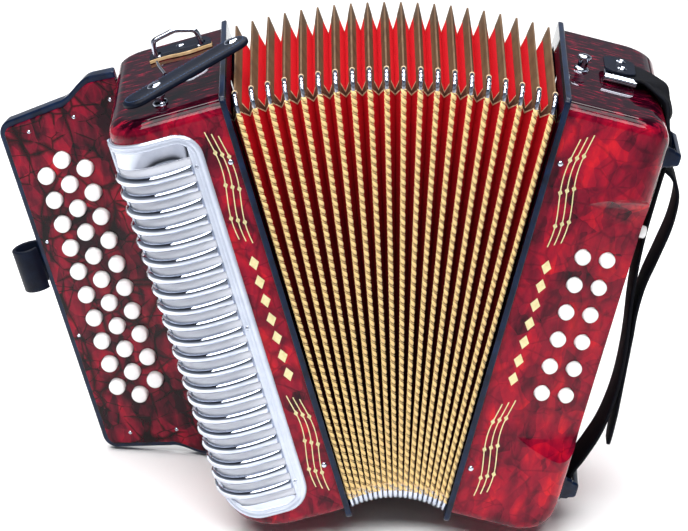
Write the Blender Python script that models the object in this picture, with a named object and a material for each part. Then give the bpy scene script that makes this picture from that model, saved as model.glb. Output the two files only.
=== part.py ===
"""Three-row button accordion, standing on its two casings with the bellows fanned open.

Metres, +Z up, front towards -Y. Each casing is drawn upright in millimetres in a frame of its own:
x runs across (0 at the face that meets the bellows), y from front to back and z up. The frames are
then leant apart, the bass one about the line that the bellows fan around.
"""

import math

import bmesh
import bpy
import numpy as np
from mathutils import Matrix, Vector

MM = 0.001
GAP = 0.3  # kept between pieces that rest on each other
LAP = 1.0  # how far a cutter passes the face that it cuts
ARC_STEPS = 5
ROUND_SIDES = 12

# Casings
HEIGHT = 310.0
DEPTH = 182.0
TREBLE_WIDTH = 79.0
BASS_WIDTH = 71.0
WALL = 6.0
TREBLE_CORNERS = {"front": 27.0, "back": 14.0, "low": 25.0, "high": 10.0}
BASS_CORNERS = {"front": 14.0, "back": 14.0, "low": 22.0, "high": 16.0}
SOUNDBOARD = (44.0, 48.0)
GRILLE_WINDOW = (50.0, 70.0)

# Lean of each casing away from upright, and its turn towards the middle, in degrees
TREBLE_LEAN = 15.33
TREBLE_TOE = 2.04
BASS_LEAN = 13.78
BASS_TOE = 2.97

# Bellows
FOLDS = 20
FOLD_PITCH = 3.25
FOLD_DEPTH = 17.0
FOLD_SKIN = 1.2
FOLD_CORNER = 8.0
FRAME_THICKNESS = 4.25
FRAME_PROUD = 3.5
FRAME_BORDER = 15.5
CLOSED_GAP = FOLDS * FOLD_PITCH + 2 * FRAME_THICKNESS
FAN_POLE = (30.0, -2.87)  # x and z in the treble frame; this height stands both casings level

# Grille over the front outer corner of the treble casing
GRILLE_SPAN = (20.0, 32.0)  # first x on the front, last y on the side
GRILLE_RISE = (13.0, 297.0)
GRILLE_THICKNESS = 4.2
GRILLE_CORNER = 18.0
LOUVRES = 22
LOUVRE_PITCH = 11.9
LOUVRE_FIRST = 24.0
LOUVRE_SLOT = 5.5
LOUVRE_START = 29.0

# Fingerboard, turned back from the front of the casing
BOARD_TURN = 11.7
BOARD_ORIGIN = (80.0, 139.4)  # across and back in the treble frame, on the cover's face
BOARD_MIDDLE = 156.4
BOARD_REACH = 95.0
BOARD_INNER_HALF = 152.0
BOARD_OUTER_HALF = 131.0
BOARD_STEP = (18.0, 47.0, 13.5)  # start, end and drop of the curved shoulder
BOARD_CORNER = 9.0
COVER_THICKNESS = 1.7
BODY_THICKNESS = 12.0
BODY_MARGIN = 2.0
BODY_FLOOR = 3.0
BODY_RIM = 11.0

# Treble buttons: rows by distance across the board, number of buttons and height of the first
BUTTON_PITCH = 19.13
TREBLE_ROWS = (("outer", 71.66, 10, 245.1), ("middle", 56.55, 11, 254.7), ("inner", 41.44, 10, 245.1))
TREBLE_BUTTON = {"radius": 6.6, "above": 6.0, "below": 3.5}

# Bass buttons on a scooped panel, turned back from the front
PANEL_START = 20.0
PANEL_TURN = 18.8
PANEL_RISE = (84.0, 232.0)
PANEL_SWEEP = 31.0
BASS_PITCH = 20.46
BASS_COLUMNS = (("inner", 17.7), ("outer", 35.75))
BASS_PER_COLUMN = 6
BASS_FIRST = 207.3
BASS_BUTTON = {"radius": 5.7, "above": 5.0, "below": 5.0}
BUTTON_CLEARANCE = 0.5
BUTTON_CHAMFER = 1.0

AIR_BUTTON = {"back": 25.0, "up": 228.0, "radius": 4.3, "out": 5.0, "in": 5.0}

# Levers under the treble buttons
LEVER_WIDTH = 3.0
LEVER_DEPTHS = (8.6, 10.4)
LEVER_SPINE = (12.0, 18.0)
LEVER_OVERHANG = 3.0

# Reed blocks: low and high corner across and back, rise, and the slots between chambers
REED_RISE = (30.0, 280.0)
REED_CHAMBERS = 10
REED_BACK = (50.0, 125.0)
REED_SPINE = 10.0

# Straps and their fittings
HAND_STRAP_WIDTH = 36.0
HAND_STRAP_THICKNESS = 3.0
BRACKET_BACK = (28.0, 76.0)
BRACKET_OUT = (82.0, 86.5)
BRACKET_LUG = 3.5
BRACKET_RISES = ((19.0, 37.0), (273.0, 289.0))
THUMB_STRAP_RISE = (160.0, 193.0)
THUMB_STRAP_THICKNESS = 3.0
THUMB_LOOP = (107.0, 6.0, 10.0)  # centre out and back from the board's origin, radius
BELLOWS_STRAP_PIVOT = (41.0, 33.0, 318.4)
BELLOWS_STRAP_TURN = 29.5
BELLOWS_STRAP_TILT = 6.0
BELLOWS_STRAP_ENDS = (-25.0, 74.0)
BELLOWS_STRAP_WIDTH = 26.0
BELLOWS_STRAP_THICKNESS = 4.0
STUD_RADIUS = 5.0
TREBLE_STUD = (41.0, 33.0, 317.5)
BASS_STUD = (10.0, 85.0, 321.0)
RING_BACK = 137.0
RING_WIRE = 1.75
TAB_SPAN = (16.0, 44.0)

COLOURS = {
    "celluloid": ((0.45, 0.01, 0.03), 0.12, 0.0),
    "chrome": ((0.75, 0.77, 0.82), 0.12, 1.0),
    "black_wood": ((0.012, 0.012, 0.016), 0.25, 0.0),
    "white_plastic": ((0.92, 0.92, 0.90), 0.2, 0.0),
    "bellows": ((0.62, 0.42, 0.16), 0.7, 0.0),
    "leather": ((0.012, 0.014, 0.02), 0.45, 0.0),
    "wood": ((0.55, 0.36, 0.18), 0.55, 0.0),
    "steel": ((0.5, 0.5, 0.52), 0.35, 1.0),
}


def clear_scene():
    for thing in list(bpy.data.objects):
        bpy.data.objects.remove(thing, do_unlink=True)


def make_material(name):
    colour, roughness, metallic = COLOURS[name]
    made = bpy.data.materials.new(name)
    made.use_nodes = True
    shader = made.node_tree.nodes["Principled BSDF"]
    shader.inputs["Base Color"].default_value = (*colour, 1.0)
    shader.inputs["Roughness"].default_value = roughness
    shader.inputs["Metallic"].default_value = metallic
    return made


def add_empty(name, parent=None, matrix=None):
    made = bpy.data.objects.new(name, None)
    bpy.context.collection.objects.link(made)
    made.parent = parent
    made.matrix_basis = matrix or Matrix.Identity(4)
    return made


def place(across, back, up):
    """A place in a casing's frame, given in millimetres."""
    return Matrix.Translation(Vector((across, back, up)) * MM)


def turned(axis, degrees):
    return Matrix.Rotation(math.radians(degrees), 4, axis)


def link_mesh(name, mesh, material, parent, matrix=None):
    made = bpy.data.objects.new(name, mesh)
    mesh.materials.append(material)
    bpy.context.collection.objects.link(made)
    made.parent = parent
    made.matrix_basis = matrix or Matrix.Identity(4)
    return made


def add_piece(name, solid, material, parent, matrix=None):
    """Turns a bmesh in millimetres into an object."""
    bmesh.ops.recalc_face_normals(solid, faces=solid.faces)
    bmesh.ops.scale(solid, vec=(MM, MM, MM), verts=solid.verts)
    mesh = bpy.data.meshes.new(name)
    solid.to_mesh(mesh)
    solid.free()
    return link_mesh(name, mesh, material, parent, matrix)


def combine(target, helper, operation="DIFFERENCE"):
    modifier = target.modifiers.new(helper.name, "BOOLEAN")
    modifier.operation = operation
    modifier.solver = "EXACT"
    modifier.object = helper
    helper.hide_render = True
    helper.display_type = "WIRE"


def arc(centre, radius, start, end, steps=ARC_STEPS):
    """Points on an arc, with angles in degrees."""
    angles = [math.radians(start + (end - start) * i / steps) for i in range(steps + 1)]
    return [(centre[0] + radius * math.cos(a), centre[1] + radius * math.sin(a)) for a in angles]


def point_on(axis, first, second, along):
    if axis == "x":
        return (along, first, second)
    if axis == "y":
        return (first, along, second)
    return (first, second, along)


def extend_prism(solid, outline, axis, low, high):
    rings = [[solid.verts.new(point_on(axis, a, b, along)) for a, b in outline] for along in (low, high)]
    count = len(outline)
    solid.faces.new(rings[0])
    solid.faces.new(rings[1])
    for i in range(count):
        following = (i + 1) % count
        solid.faces.new((rings[0][i], rings[0][following], rings[1][following], rings[1][i]))


def prism(outline, axis, low, high):
    """An outline in the plane across an axis, pulled along it from low to high."""
    solid = bmesh.new()
    extend_prism(solid, outline, axis, low, high)
    return solid


def rectangle(first, second):
    return [(first[0], second[0]), (first[1], second[0]), (first[1], second[1]), (first[0], second[1])]


def box(across, back, up):
    return prism(rectangle(across, back), "z", *up)


def circle(centre, radius):
    return arc(centre, radius, 0, 360 - 360 / ROUND_SIDES, ROUND_SIDES - 1)


def mirrored(outline):
    return [(-a, b) for a, b in outline]


def band(stations, width_way, width, thickness):
    """A flat strap through the stations, with its width along one fixed direction."""
    solid = bmesh.new()
    rings = []
    width_way = Vector(width_way)
    points = [Vector(station) for station in stations]
    for i, point in enumerate(points):
        tangent = (points[min(i + 1, len(points) - 1)] - points[max(i - 1, 0)]).normalized()
        normal = tangent.cross(width_way).normalized()
        corners = ((-1, -1), (1, -1), (1, 1), (-1, 1))
        rings.append([
            solid.verts.new(point + width_way * (a * width / 2) + normal * (b * thickness / 2))
            for a, b in corners
        ])
    solid.faces.new(rings[0])
    solid.faces.new(rings[-1])
    for near, far in zip(rings, rings[1:]):
        for i in range(4):
            solid.faces.new((near[i], near[(i + 1) % 4], far[(i + 1) % 4], far[i]))
    return solid


def casing_outlines(width, corners, inner, inset):
    """The plan (across, back) and the front view (across, up) of a casing, shrunk by inset."""
    front, back, low, high = (corners[name] for name in ("front", "back", "low", "high"))
    plan = [(inner, inset)]
    plan += arc((width - front, front), front - inset, -90, 0)
    plan += arc((width - back, DEPTH - back), back - inset, 0, 90)
    plan += [(inner, DEPTH - inset)]
    view = [(inner, inset)]
    view += arc((width - low, low), low - inset, -90, 0)
    view += arc((width - high, HEIGHT - high), high - inset, 0, 90)
    view += [(inner, HEIGHT - inset)]
    return plan, view


def casing_block(name, side, width, corners, inner, inset, material, parent):
    """A block whose outer corners are round both in plan and in the front view."""
    plan, view = casing_outlines(width, corners, inner, inset)
    if side < 0:
        plan, view = mirrored(plan), mirrored(view)
    block = add_piece(name, prism(plan, "z", -LAP, HEIGHT + LAP), material, parent)
    shaper = add_piece(name + "_view", prism(view, "y", -LAP, DEPTH + LAP), material, parent)
    combine(block, shaper, "INTERSECT")
    return block


def add_stud(casing, side, spot, material, parent):
    across, back, top = spot
    post = prism(circle((side * across, back), STUD_RADIUS), "z", HEIGHT - WALL / 2, top)
    combine(casing, add_piece(casing.name + "_stud", post, material, parent), "UNION")


def build_treble_casing(parent, materials):
    celluloid = materials["celluloid"]
    casing = casing_block("treble_casing", -1, TREBLE_WIDTH, TREBLE_CORNERS, 0.0, 0.0, celluloid, parent)
    inside = (WALL, DEPTH - WALL)
    reed_room = box((-SOUNDBOARD[0], LAP), inside, (WALL, HEIGHT - WALL))
    combine(casing, add_piece("treble_reed_room", reed_room, celluloid, parent))
    valve_room = casing_block(
        "treble_valve_room", -1, TREBLE_WIDTH, TREBLE_CORNERS, SOUNDBOARD[1], WALL, celluloid, parent
    )
    combine(casing, valve_room)
    window = box((-GRILLE_WINDOW[1], -GRILLE_WINDOW[0]), (-LAP, 20.0), (REED_RISE[0], REED_RISE[1]))
    combine(casing, add_piece("treble_window", window, celluloid, parent))
    slot = box((-TREBLE_WIDTH - LAP, -TREBLE_WIDTH + WALL + LAP), (143.0, 154.0), (40.0, 275.0))
    combine(casing, add_piece("treble_lever_slot", slot, celluloid, parent))
    add_stud(casing, -1, TREBLE_STUD, celluloid, parent)


def grille_plan():
    radius = TREBLE_CORNERS["front"]
    centre = (TREBLE_WIDTH - radius, radius)
    start, last = GRILLE_SPAN
    reach = GAP + GRILLE_THICKNESS
    plan = [(start, -reach)] + arc(centre, radius + reach, -90, 0)
    plan += [(TREBLE_WIDTH + reach, last), (TREBLE_WIDTH + GAP, last)]
    plan += arc(centre, radius + GAP, 0, -90) + [(start, -GAP)]
    return mirrored(plan)


def grille_view():
    """The grille's outline from the front: rounded on three corners, square at the top outer one."""
    low, high = GRILLE_RISE
    start = GRILLE_SPAN[0]
    outer = TREBLE_WIDTH + GRILLE_THICKNESS + LAP
    foot = TREBLE_CORNERS["low"]
    view = arc((start + GRILLE_CORNER, low + GRILLE_CORNER), GRILLE_CORNER, 180, 270)
    view += arc((outer - foot, low + foot), foot, -90, 0)
    view += [(outer, high)]
    view += arc((start + GRILLE_CORNER, high - GRILLE_CORNER), GRILLE_CORNER, 90, 180)
    return mirrored(view)


def build_grille(parent, materials):
    chrome = materials["chrome"]
    grille = add_piece("treble_grille", prism(grille_plan(), "z", 0.0, HEIGHT), chrome, parent)
    shaper = add_piece("grille_view", prism(grille_view(), "y", -10.0, 40.0), chrome, parent)
    combine(grille, shaper, "INTERSECT")
    slots = bmesh.new()
    for i in range(LOUVRES):
        up = LOUVRE_FIRST + i * LOUVRE_PITCH
        outline = rectangle((-TREBLE_WIDTH - 10.0, -LOUVRE_START), (-10.0, 24.0))
        extend_prism(slots, outline, "z", up, up + LOUVRE_SLOT)
    combine(grille, add_piece("grille_slots", slots, chrome, parent))


def shoulder(out):
    """Half the fingerboard's height at a distance out from the casing."""
    start, end, drop = BOARD_STEP
    share = min(max((out - start) / (end - start), 0.0), 1.0)
    curve = share * share * (3 - 2 * share)
    taper = max(out - end, 0.0) / (BOARD_REACH - end)
    return BOARD_INNER_HALF - drop * curve - taper * (BOARD_INNER_HALF - drop - BOARD_OUTER_HALF)


def board_outline(margin):
    """The fingerboard's outline, in x (towards the casing) and z."""
    reach = BOARD_REACH + margin
    corner = BOARD_CORNER + margin
    start, end, _ = BOARD_STEP
    outs = [-6.0, *np.linspace(start, end, 7), reach - corner]
    upper = [(-out, shoulder(out) + margin) for out in outs]
    half = shoulder(reach - corner) + margin
    upper += arc((corner - reach, half - corner), corner, 90, 180)[1:]
    lower = [(x, -up) for x, up in reversed(upper)]
    return [(x, up + BOARD_MIDDLE) for x, up in upper + lower]


def treble_button_places():
    """(name, distance out, height) of every treble button."""
    return [
        (f"treble_button_{row}_{i + 1:02d}", out, first - i * BUTTON_PITCH)
        for row, out, count, first in TREBLE_ROWS
        for i in range(count)
    ]


def build_fingerboard(board, treble, materials):
    face_solid = prism(board_outline(0.0), "y", 0.0, COVER_THICKNESS)
    face = add_piece("fingerboard_cover", face_solid, materials["celluloid"], board)
    body_top = COVER_THICKNESS + GAP
    body_back = body_top + BODY_THICKNESS
    body_solid = prism(board_outline(BODY_MARGIN), "y", body_top, body_back)
    body = add_piece("fingerboard", body_solid, materials["black_wood"], board)
    hollow = box(
        (BODY_RIM - BOARD_REACH, 20.0), (0.0, body_back - BODY_FLOOR),
        (BOARD_MIDDLE - BOARD_OUTER_HALF + BODY_RIM, BOARD_MIDDLE + BOARD_OUTER_HALF - BODY_RIM),
    )
    combine(body, add_piece("fingerboard_hollow", hollow, materials["wood"], board))
    casing_side = box((-TREBLE_WIDTH - GAP, 0.0), (100.0, DEPTH + 20.0), (-20.0, HEIGHT + 20.0))
    side = add_piece("casing_side", casing_side, materials["wood"], treble)
    holes = bmesh.new()
    hole_radius = TREBLE_BUTTON["radius"] + BUTTON_CLEARANCE
    for _, out, up in treble_button_places():
        extend_prism(holes, circle((-out, up), hole_radius), "y", -LAP, COVER_THICKNESS + GAP + LAP)
    combine(face, add_piece("cover_holes", holes, materials["wood"], board))
    combine(face, side)
    combine(body, side)


def button_mesh(name, sizes, material):
    """A round button along y, its flat top towards -y with a chamfered edge."""
    radius, above, below = sizes["radius"], sizes["above"], sizes["below"]
    solid = bmesh.new()
    profile = ((radius - BUTTON_CHAMFER, -above), (radius, BUTTON_CHAMFER - above), (radius, below))
    rings = []
    for reach, along in profile:
        rings.append([solid.verts.new((a, along, b)) for a, b in circle((0.0, 0.0), reach)])
    solid.faces.new(rings[0])
    solid.faces.new(rings[-1])
    for near, far in zip(rings, rings[1:]):
        for i in range(ROUND_SIDES):
            following = (i + 1) % ROUND_SIDES
            solid.faces.new((near[i], near[following], far[following], far[i]))
    bmesh.ops.recalc_face_normals(solid, faces=solid.faces)
    bmesh.ops.scale(solid, vec=(MM, MM, MM), verts=solid.verts)
    mesh = bpy.data.meshes.new(name)
    solid.to_mesh(mesh)
    solid.free()
    mesh.materials.append(material)
    return mesh


def add_button(name, mesh, parent, matrix):
    made = bpy.data.objects.new(name, mesh)
    bpy.context.collection.objects.link(made)
    made.parent = parent
    made.matrix_basis = matrix


def build_treble_buttons(board, materials):
    mesh = button_mesh("treble_button", TREBLE_BUTTON, materials["white_plastic"])
    for name, out, up in treble_button_places():
        add_button(name, mesh, board, place(-out, 0.0, up))


def lever_outline():
    """A comb: a spine inside the casing with a finger out to each treble button."""
    reach = {}
    for _, out, up in treble_button_places():
        reach[up] = max(reach.get(up, 0.0), out + LEVER_OVERHANG)
    near, far = LEVER_SPINE
    heights = sorted(reach)
    points = [(far, heights[0] - LEVER_WIDTH)]
    points += [(far, heights[-1] + LEVER_WIDTH), (near, heights[-1] + LEVER_WIDTH)]
    for up in reversed(heights):
        points += [(near, up + LEVER_WIDTH / 2), (-reach[up], up + LEVER_WIDTH / 2)]
        points += [(-reach[up], up - LEVER_WIDTH / 2), (near, up - LEVER_WIDTH / 2)]
    points += [(near, heights[0] - LEVER_WIDTH)]
    return points


def build_levers(board, materials):
    add_piece("treble_levers", prism(lever_outline(), "y", *LEVER_DEPTHS), materials["steel"], board)


def reed_outline(near, far):
    """A block of reed chambers seen from the front: a spine with walls standing on it."""
    low, high = REED_RISE
    pitch = (high - low) / REED_CHAMBERS
    wall = pitch / 4
    inner = near + math.copysign(REED_SPINE, far - near)
    points = [(near, high), (near, low)]
    for i in range(REED_CHAMBERS + 1):
        base = low + i * (high - low - wall) / REED_CHAMBERS
        points += [(far, base), (far, base + wall), (inner, base + wall)]
        if i < REED_CHAMBERS:
            points += [(inner, low + (i + 1) * (high - low - wall) / REED_CHAMBERS)]
    return points[:-1]


def build_reed_block(name, near, far, parent, materials):
    add_piece(name, prism(reed_outline(near, far), "y", *REED_BACK), materials["wood"], parent)


def build_bellows_frame(name, side, parent, materials):
    """A black frame that sits on a casing's inner face, a little proud all round."""
    outer = rectangle((-FRAME_PROUD, DEPTH + FRAME_PROUD), (-FRAME_PROUD, HEIGHT + FRAME_PROUD))
    inner = rectangle(
        (FRAME_BORDER - FRAME_PROUD, DEPTH + FRAME_PROUD - FRAME_BORDER),
        (FRAME_BORDER - FRAME_PROUD, HEIGHT + FRAME_PROUD - FRAME_BORDER),
    )
    faces = sorted((-side * GAP, -side * (FRAME_THICKNESS - GAP)))
    frame = add_piece(name, prism(outer, "x", *faces), materials["black_wood"], parent)
    hole = prism(inner, "x", faces[0] - LAP, faces[1] + LAP)
    combine(frame, add_piece(name + "_hole", hole, materials["wood"], parent))


def fold_outline(inset):
    """The bellows seen from the side, with cut corners, shrunk by inset."""
    low, back, high = inset + 0.5, DEPTH - 0.5 - inset, HEIGHT - 1.0 - inset
    cut = FOLD_CORNER
    return [
        (low + cut, low), (back - cut, low), (back, low + cut), (back, high - cut),
        (back - cut, high), (low + cut, high), (low, high - cut), (low, low + cut),
    ]


def build_bellows(parent, fan, materials):
    """One zigzag sleeve. Each ring lies in its closed place, turned by its share of the fan's angle."""
    pole, axis, angle = fan
    solid = bmesh.new()
    skins = []
    for inset in (0.0, FOLD_SKIN):
        rings = []
        for i in range(2 * FOLDS + 1):
            share = i / (2 * FOLDS)
            outline = fold_outline(inset + (0.0 if i % 2 else FOLD_DEPTH))
            across = FRAME_THICKNESS + share * FOLDS * FOLD_PITCH
            turn = Matrix.Rotation(share * angle, 4, axis)
            rings.append([
                solid.verts.new(turn @ (Vector((across, back, up)) - pole) + pole) for back, up in outline
            ])
        skins.append(rings)
    outer, inner = skins
    count = len(outer[0])
    for i in range(count):
        following = (i + 1) % count
        for rings in skins:
            for near, far in zip(rings, rings[1:]):
                solid.faces.new((near[i], near[following], far[following], far[i]))
        for end in (0, -1):
            solid.faces.new((outer[end][i], outer[end][following], inner[end][following], inner[end][i]))
    add_piece("bellows", solid, materials["bellows"], parent)


def panel_sweep():
    """The scooped panel seen along its slope, in depth below the front and in z: flat between round ends."""
    low, high = PANEL_RISE
    sweep = PANEL_SWEEP
    front = -2 * sweep
    lower = arc((-sweep, low), sweep, 0, -80)
    upper = arc((-sweep, high), sweep, 80, 0)
    return [(front, low - sweep)] + list(reversed(lower)) + list(reversed(upper)) + [(front, high + sweep)]


def build_bass_casing(parent, panel, materials):
    celluloid = materials["celluloid"]
    casing = casing_block("bass_casing", 1, BASS_WIDTH, BASS_CORNERS, 0.0, 0.0, celluloid, parent)
    scoop_solid = prism(panel_sweep(), "x", -2 * PANEL_SWEEP, 2 * BASS_WIDTH)
    scoop = add_piece("bass_scoop", scoop_solid, celluloid, panel)
    combine(casing, scoop)
    slope = math.tan(math.radians(PANEL_TURN))
    far = BASS_WIDTH - WALL
    room = [(-LAP, WALL), (PANEL_START, WALL), (far, WALL + (far - PANEL_START) * slope)]
    room += [(far, DEPTH - WALL), (-LAP, DEPTH - WALL)]
    combine(casing, add_piece("bass_room", prism(room, "z", 14.0, HEIGHT - 12.0), celluloid, parent))
    holes = bmesh.new()
    hole_radius = BASS_BUTTON["radius"] + BUTTON_CLEARANCE
    for _, out, up in bass_button_places():
        extend_prism(holes, circle((out, up), hole_radius), "y", -LAP, WALL + 3 * LAP)
    combine(casing, add_piece("bass_holes", holes, celluloid, panel))
    spot = (AIR_BUTTON["back"], AIR_BUTTON["up"])
    hole = prism(circle(spot, AIR_BUTTON["radius"] + BUTTON_CLEARANCE), "x", 55.0, BASS_WIDTH + LAP)
    combine(casing, add_piece("air_hole", hole, celluloid, parent))
    add_stud(casing, 1, BASS_STUD, celluloid, parent)
    add_strap_brackets(casing, materials, parent)


def add_strap_brackets(casing, materials, parent):
    """Two loops that the hand strap runs through, joined to the casing that they are screwed to."""
    near, far = BRACKET_BACK
    start, end = BRACKET_OUT
    root = BASS_WIDTH - WALL / 2
    outline = [(root, near), (end, near), (end, far), (root, far), (root, far - BRACKET_LUG)]
    outline += [(start, far - BRACKET_LUG), (start, near + BRACKET_LUG), (root, near + BRACKET_LUG)]
    for i, rise in enumerate(BRACKET_RISES):
        solid = prism(outline, "z", *rise)
        bracket = add_piece(f"strap_bracket_{i + 1}", solid, materials["black_wood"], parent)
        combine(casing, bracket, "UNION")


def bass_button_places():
    return [
        (f"bass_button_{column}_{i + 1}", out, BASS_FIRST - i * BASS_PITCH)
        for column, out in BASS_COLUMNS
        for i in range(BASS_PER_COLUMN)
    ]


def build_bass_buttons(panel, parent, materials):
    mesh = button_mesh("bass_button", BASS_BUTTON, materials["white_plastic"])
    for name, out, up in bass_button_places():
        add_button(name, mesh, panel, place(out, 0.0, up))
    sizes = {"radius": AIR_BUTTON["radius"], "above": AIR_BUTTON["out"], "below": AIR_BUTTON["in"]}
    air = button_mesh("air_button", sizes, materials["white_plastic"])
    facing_out = place(BASS_WIDTH, AIR_BUTTON["back"], AIR_BUTTON["up"]) @ turned("Z", 90)
    add_button("air_button", air, parent, facing_out)


def build_hand_strap(parent, materials):
    """The strap over the casing's side and its hanging tail; stations are across, back and up."""
    main = [(28, 100, 313), (42, 96, 313), (56, 87, 313.2), (67, 72, 313), (74.5, 60, 306), (77, 54, 296)]
    main += [(77.5, 52, 281), (77, 52, 255), (78, 52, 215), (82, 52, 175), (88, 52, 140)]
    main += [(91, 52, 105), (89, 52, 75), (83, 52, 52), (78, 52, 38), (77, 52, 24)]
    main_solid = band(main, (0, 1, 0), HAND_STRAP_WIDTH, HAND_STRAP_THICKNESS)
    strap = add_piece("hand_strap", main_solid, materials["leather"], parent)
    tail = [(77.2, 52, 268), (86, 52, 263), (92, 52, 250), (94.5, 52, 225), (95.5, 52, 190)]
    tail += [(96, 52, 150), (97.5, 52, 110), (98, 52, 62)]
    end_solid = band(tail, (0, 1, 0), HAND_STRAP_WIDTH - 4, HAND_STRAP_THICKNESS)
    end = add_piece("hand_strap_tail", end_solid, materials["leather"], parent)
    combine(strap, end, "UNION")


def build_thumb_strap(board, materials):
    """A loop of leather that starts flat behind the fingerboard and curls round its outer edge."""
    out, back, radius = THUMB_LOOP
    middle = sum(THUMB_STRAP_RISE) / 2
    width = THUMB_STRAP_RISE[1] - THUMB_STRAP_RISE[0]
    curl = [(-x, y, middle) for x, y in arc((out, back), radius, 90, -150, 10)]
    start = [(-78.0, back + radius, middle), (-92.0, back + radius, middle)]
    solid = band(start + curl, (0, 0, 1), width, THUMB_STRAP_THICKNESS)
    add_piece("thumb_strap", solid, materials["leather"], board)


def build_bellows_strap(parent, materials):
    across, back, up = BELLOWS_STRAP_PIVOT
    spot = place(-across, back, up) @ turned("Z", BELLOWS_STRAP_TURN)
    pivot = add_empty("bellows_strap_pivot", parent, spot)
    low, high = BELLOWS_STRAP_ENDS
    half = BELLOWS_STRAP_WIDTH / 2
    outline = arc((high - half, 0.0), half, -90, 90) + arc((low + half, 0.0), half, 90, 270)
    add_piece(
        "bellows_strap", prism(outline, "z", 0.0, BELLOWS_STRAP_THICKNESS), materials["leather"], pivot,
        turned("Y", -BELLOWS_STRAP_TILT),
    )


def build_strap_ring(parent, materials):
    """A wire ring for a shoulder strap, lying in a leather tab that is screwed to the top."""
    base = HEIGHT + GAP + RING_WIRE
    pivot = add_empty("strap_ring_pivot", parent, place(0.0, RING_BACK, base))
    wire = bpy.data.curves.new("strap_ring", "CURVE")
    wire.dimensions = "3D"
    wire.bevel_depth = RING_WIRE * MM
    wire.bevel_resolution = 1
    corners = [(-46.6, 0.0), (-46.2, 12.0), (-28.7, 16.0), (-14.9, 12.4), (-13.5, 0.0)]
    spline = wire.splines.new("POLY")
    spline.points.add(len(corners) - 1)
    for point, (across, up) in zip(spline.points, corners):
        point.co = (across * MM, 0.0, up * MM, 1.0)
    spline.use_cyclic_u = True
    ring = bpy.data.objects.new("strap_ring", wire)
    wire.materials.append(materials["chrome"])
    bpy.context.collection.objects.link(ring)
    ring.parent = pivot
    top = base + RING_WIRE + GAP
    tab = [(RING_BACK - 8, top), (RING_BACK - 8, top + 2.5), (RING_BACK + 9, top + 2.5)]
    tab += [(RING_BACK + 9, HEIGHT + GAP), (RING_BACK + 4, HEIGHT + GAP), (RING_BACK + 4, top)]
    add_piece("strap_ring_tab", prism(tab, "x", -TAB_SPAN[1], -TAB_SPAN[0]), materials["leather"], parent)


def fan_motion(treble_turn, bass_turn):
    """Pole, axis and angle, in the treble frame, of the turn that fans the bass side out."""
    relative = treble_turn.to_3x3().transposed() @ bass_turn.to_3x3()
    turn = relative.to_quaternion()
    pole = Vector((FAN_POLE[0], 0.0, FAN_POLE[1]))
    return pole, turn.axis, turn.angle


def add_fan_pivot(treble, fan):
    """The pivot that the bass side fans around, turned as far as the bellows are open."""
    pole, axis, angle = fan
    swing = Matrix.Translation(pole * MM) @ Matrix.Rotation(angle, 4, axis)
    return add_empty("bellows_fan_pivot", treble, swing)


def bass_place(fan):
    """Where the bass frame stands on the fan's pivot."""
    pole = fan[0]
    return Matrix.Translation(-pole * MM) @ place(CLOSED_GAP, 0.0, 0.0)


def stand_over_origin(root):
    """Moves everything so that the origin is at the bottom of the whole, under its middle."""
    bpy.context.view_layer.update()
    graph = bpy.context.evaluated_depsgraph_get()
    corners = []
    for thing in bpy.context.scene.objects:
        if thing.type == "EMPTY" or thing.hide_render:
            continue
        solid = thing.evaluated_get(graph)
        mesh = solid.to_mesh()
        points = np.array([solid.matrix_world @ vertex.co for vertex in mesh.vertices])
        solid.to_mesh_clear()
        corners += [points.min(axis=0), points.max(axis=0)]
    low, high = np.min(corners, axis=0), np.max(corners, axis=0)
    middle = (low + high) / 2
    root.location = (-middle[0], -middle[1], -low[2])


def main():
    clear_scene()
    materials = {name: make_material(name) for name in COLOURS}
    root = add_empty("accordion")
    treble_turn = turned("Z", TREBLE_TOE) @ turned("Y", -TREBLE_LEAN)
    bass_turn = turned("Z", -BASS_TOE) @ turned("Y", BASS_LEAN)
    fan = fan_motion(treble_turn, bass_turn)
    treble = add_empty("treble_side", root, treble_turn)
    bass = add_empty("bass_side", add_fan_pivot(treble, fan), bass_place(fan))
    board_spot = place(-BOARD_ORIGIN[0], BOARD_ORIGIN[1], 0.0)
    board = add_empty("board_side", treble, board_spot @ turned("Z", -BOARD_TURN))
    panel = add_empty("panel_side", bass, place(PANEL_START, 0.0, 0.0) @ turned("Z", PANEL_TURN))

    build_treble_casing(treble, materials)
    build_grille(treble, materials)
    build_fingerboard(board, treble, materials)
    build_treble_buttons(board, materials)
    build_levers(board, materials)
    build_reed_block("treble_reed_block", GAP - SOUNDBOARD[0], -8.0, treble, materials)
    build_strap_ring(treble, materials)
    build_bellows_strap(treble, materials)
    build_thumb_strap(board, materials)

    build_bellows_frame("treble_bellows_frame", -1, treble, materials)
    build_bellows(treble, fan, materials)
    build_bellows_frame("bass_bellows_frame", 1, bass, materials)

    build_bass_casing(bass, panel, materials)
    build_bass_buttons(panel, bass, materials)
    build_reed_block("bass_reed_block", BASS_WIDTH - WALL - GAP, 12.0, bass, materials)
    build_hand_strap(bass, materials)
    stand_over_origin(root)


main()
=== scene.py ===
"""The looks of the button accordion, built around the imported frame.

Each piece is drawn in millimetres in the frame of the side that it belongs to, as the CAD part is:
x runs across (0 at the face that meets the bellows), y from front to back and z up.
"""

import math
from functools import partial

import bmesh
import bpy
import numpy as np
from mathutils import Matrix, Vector


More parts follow.
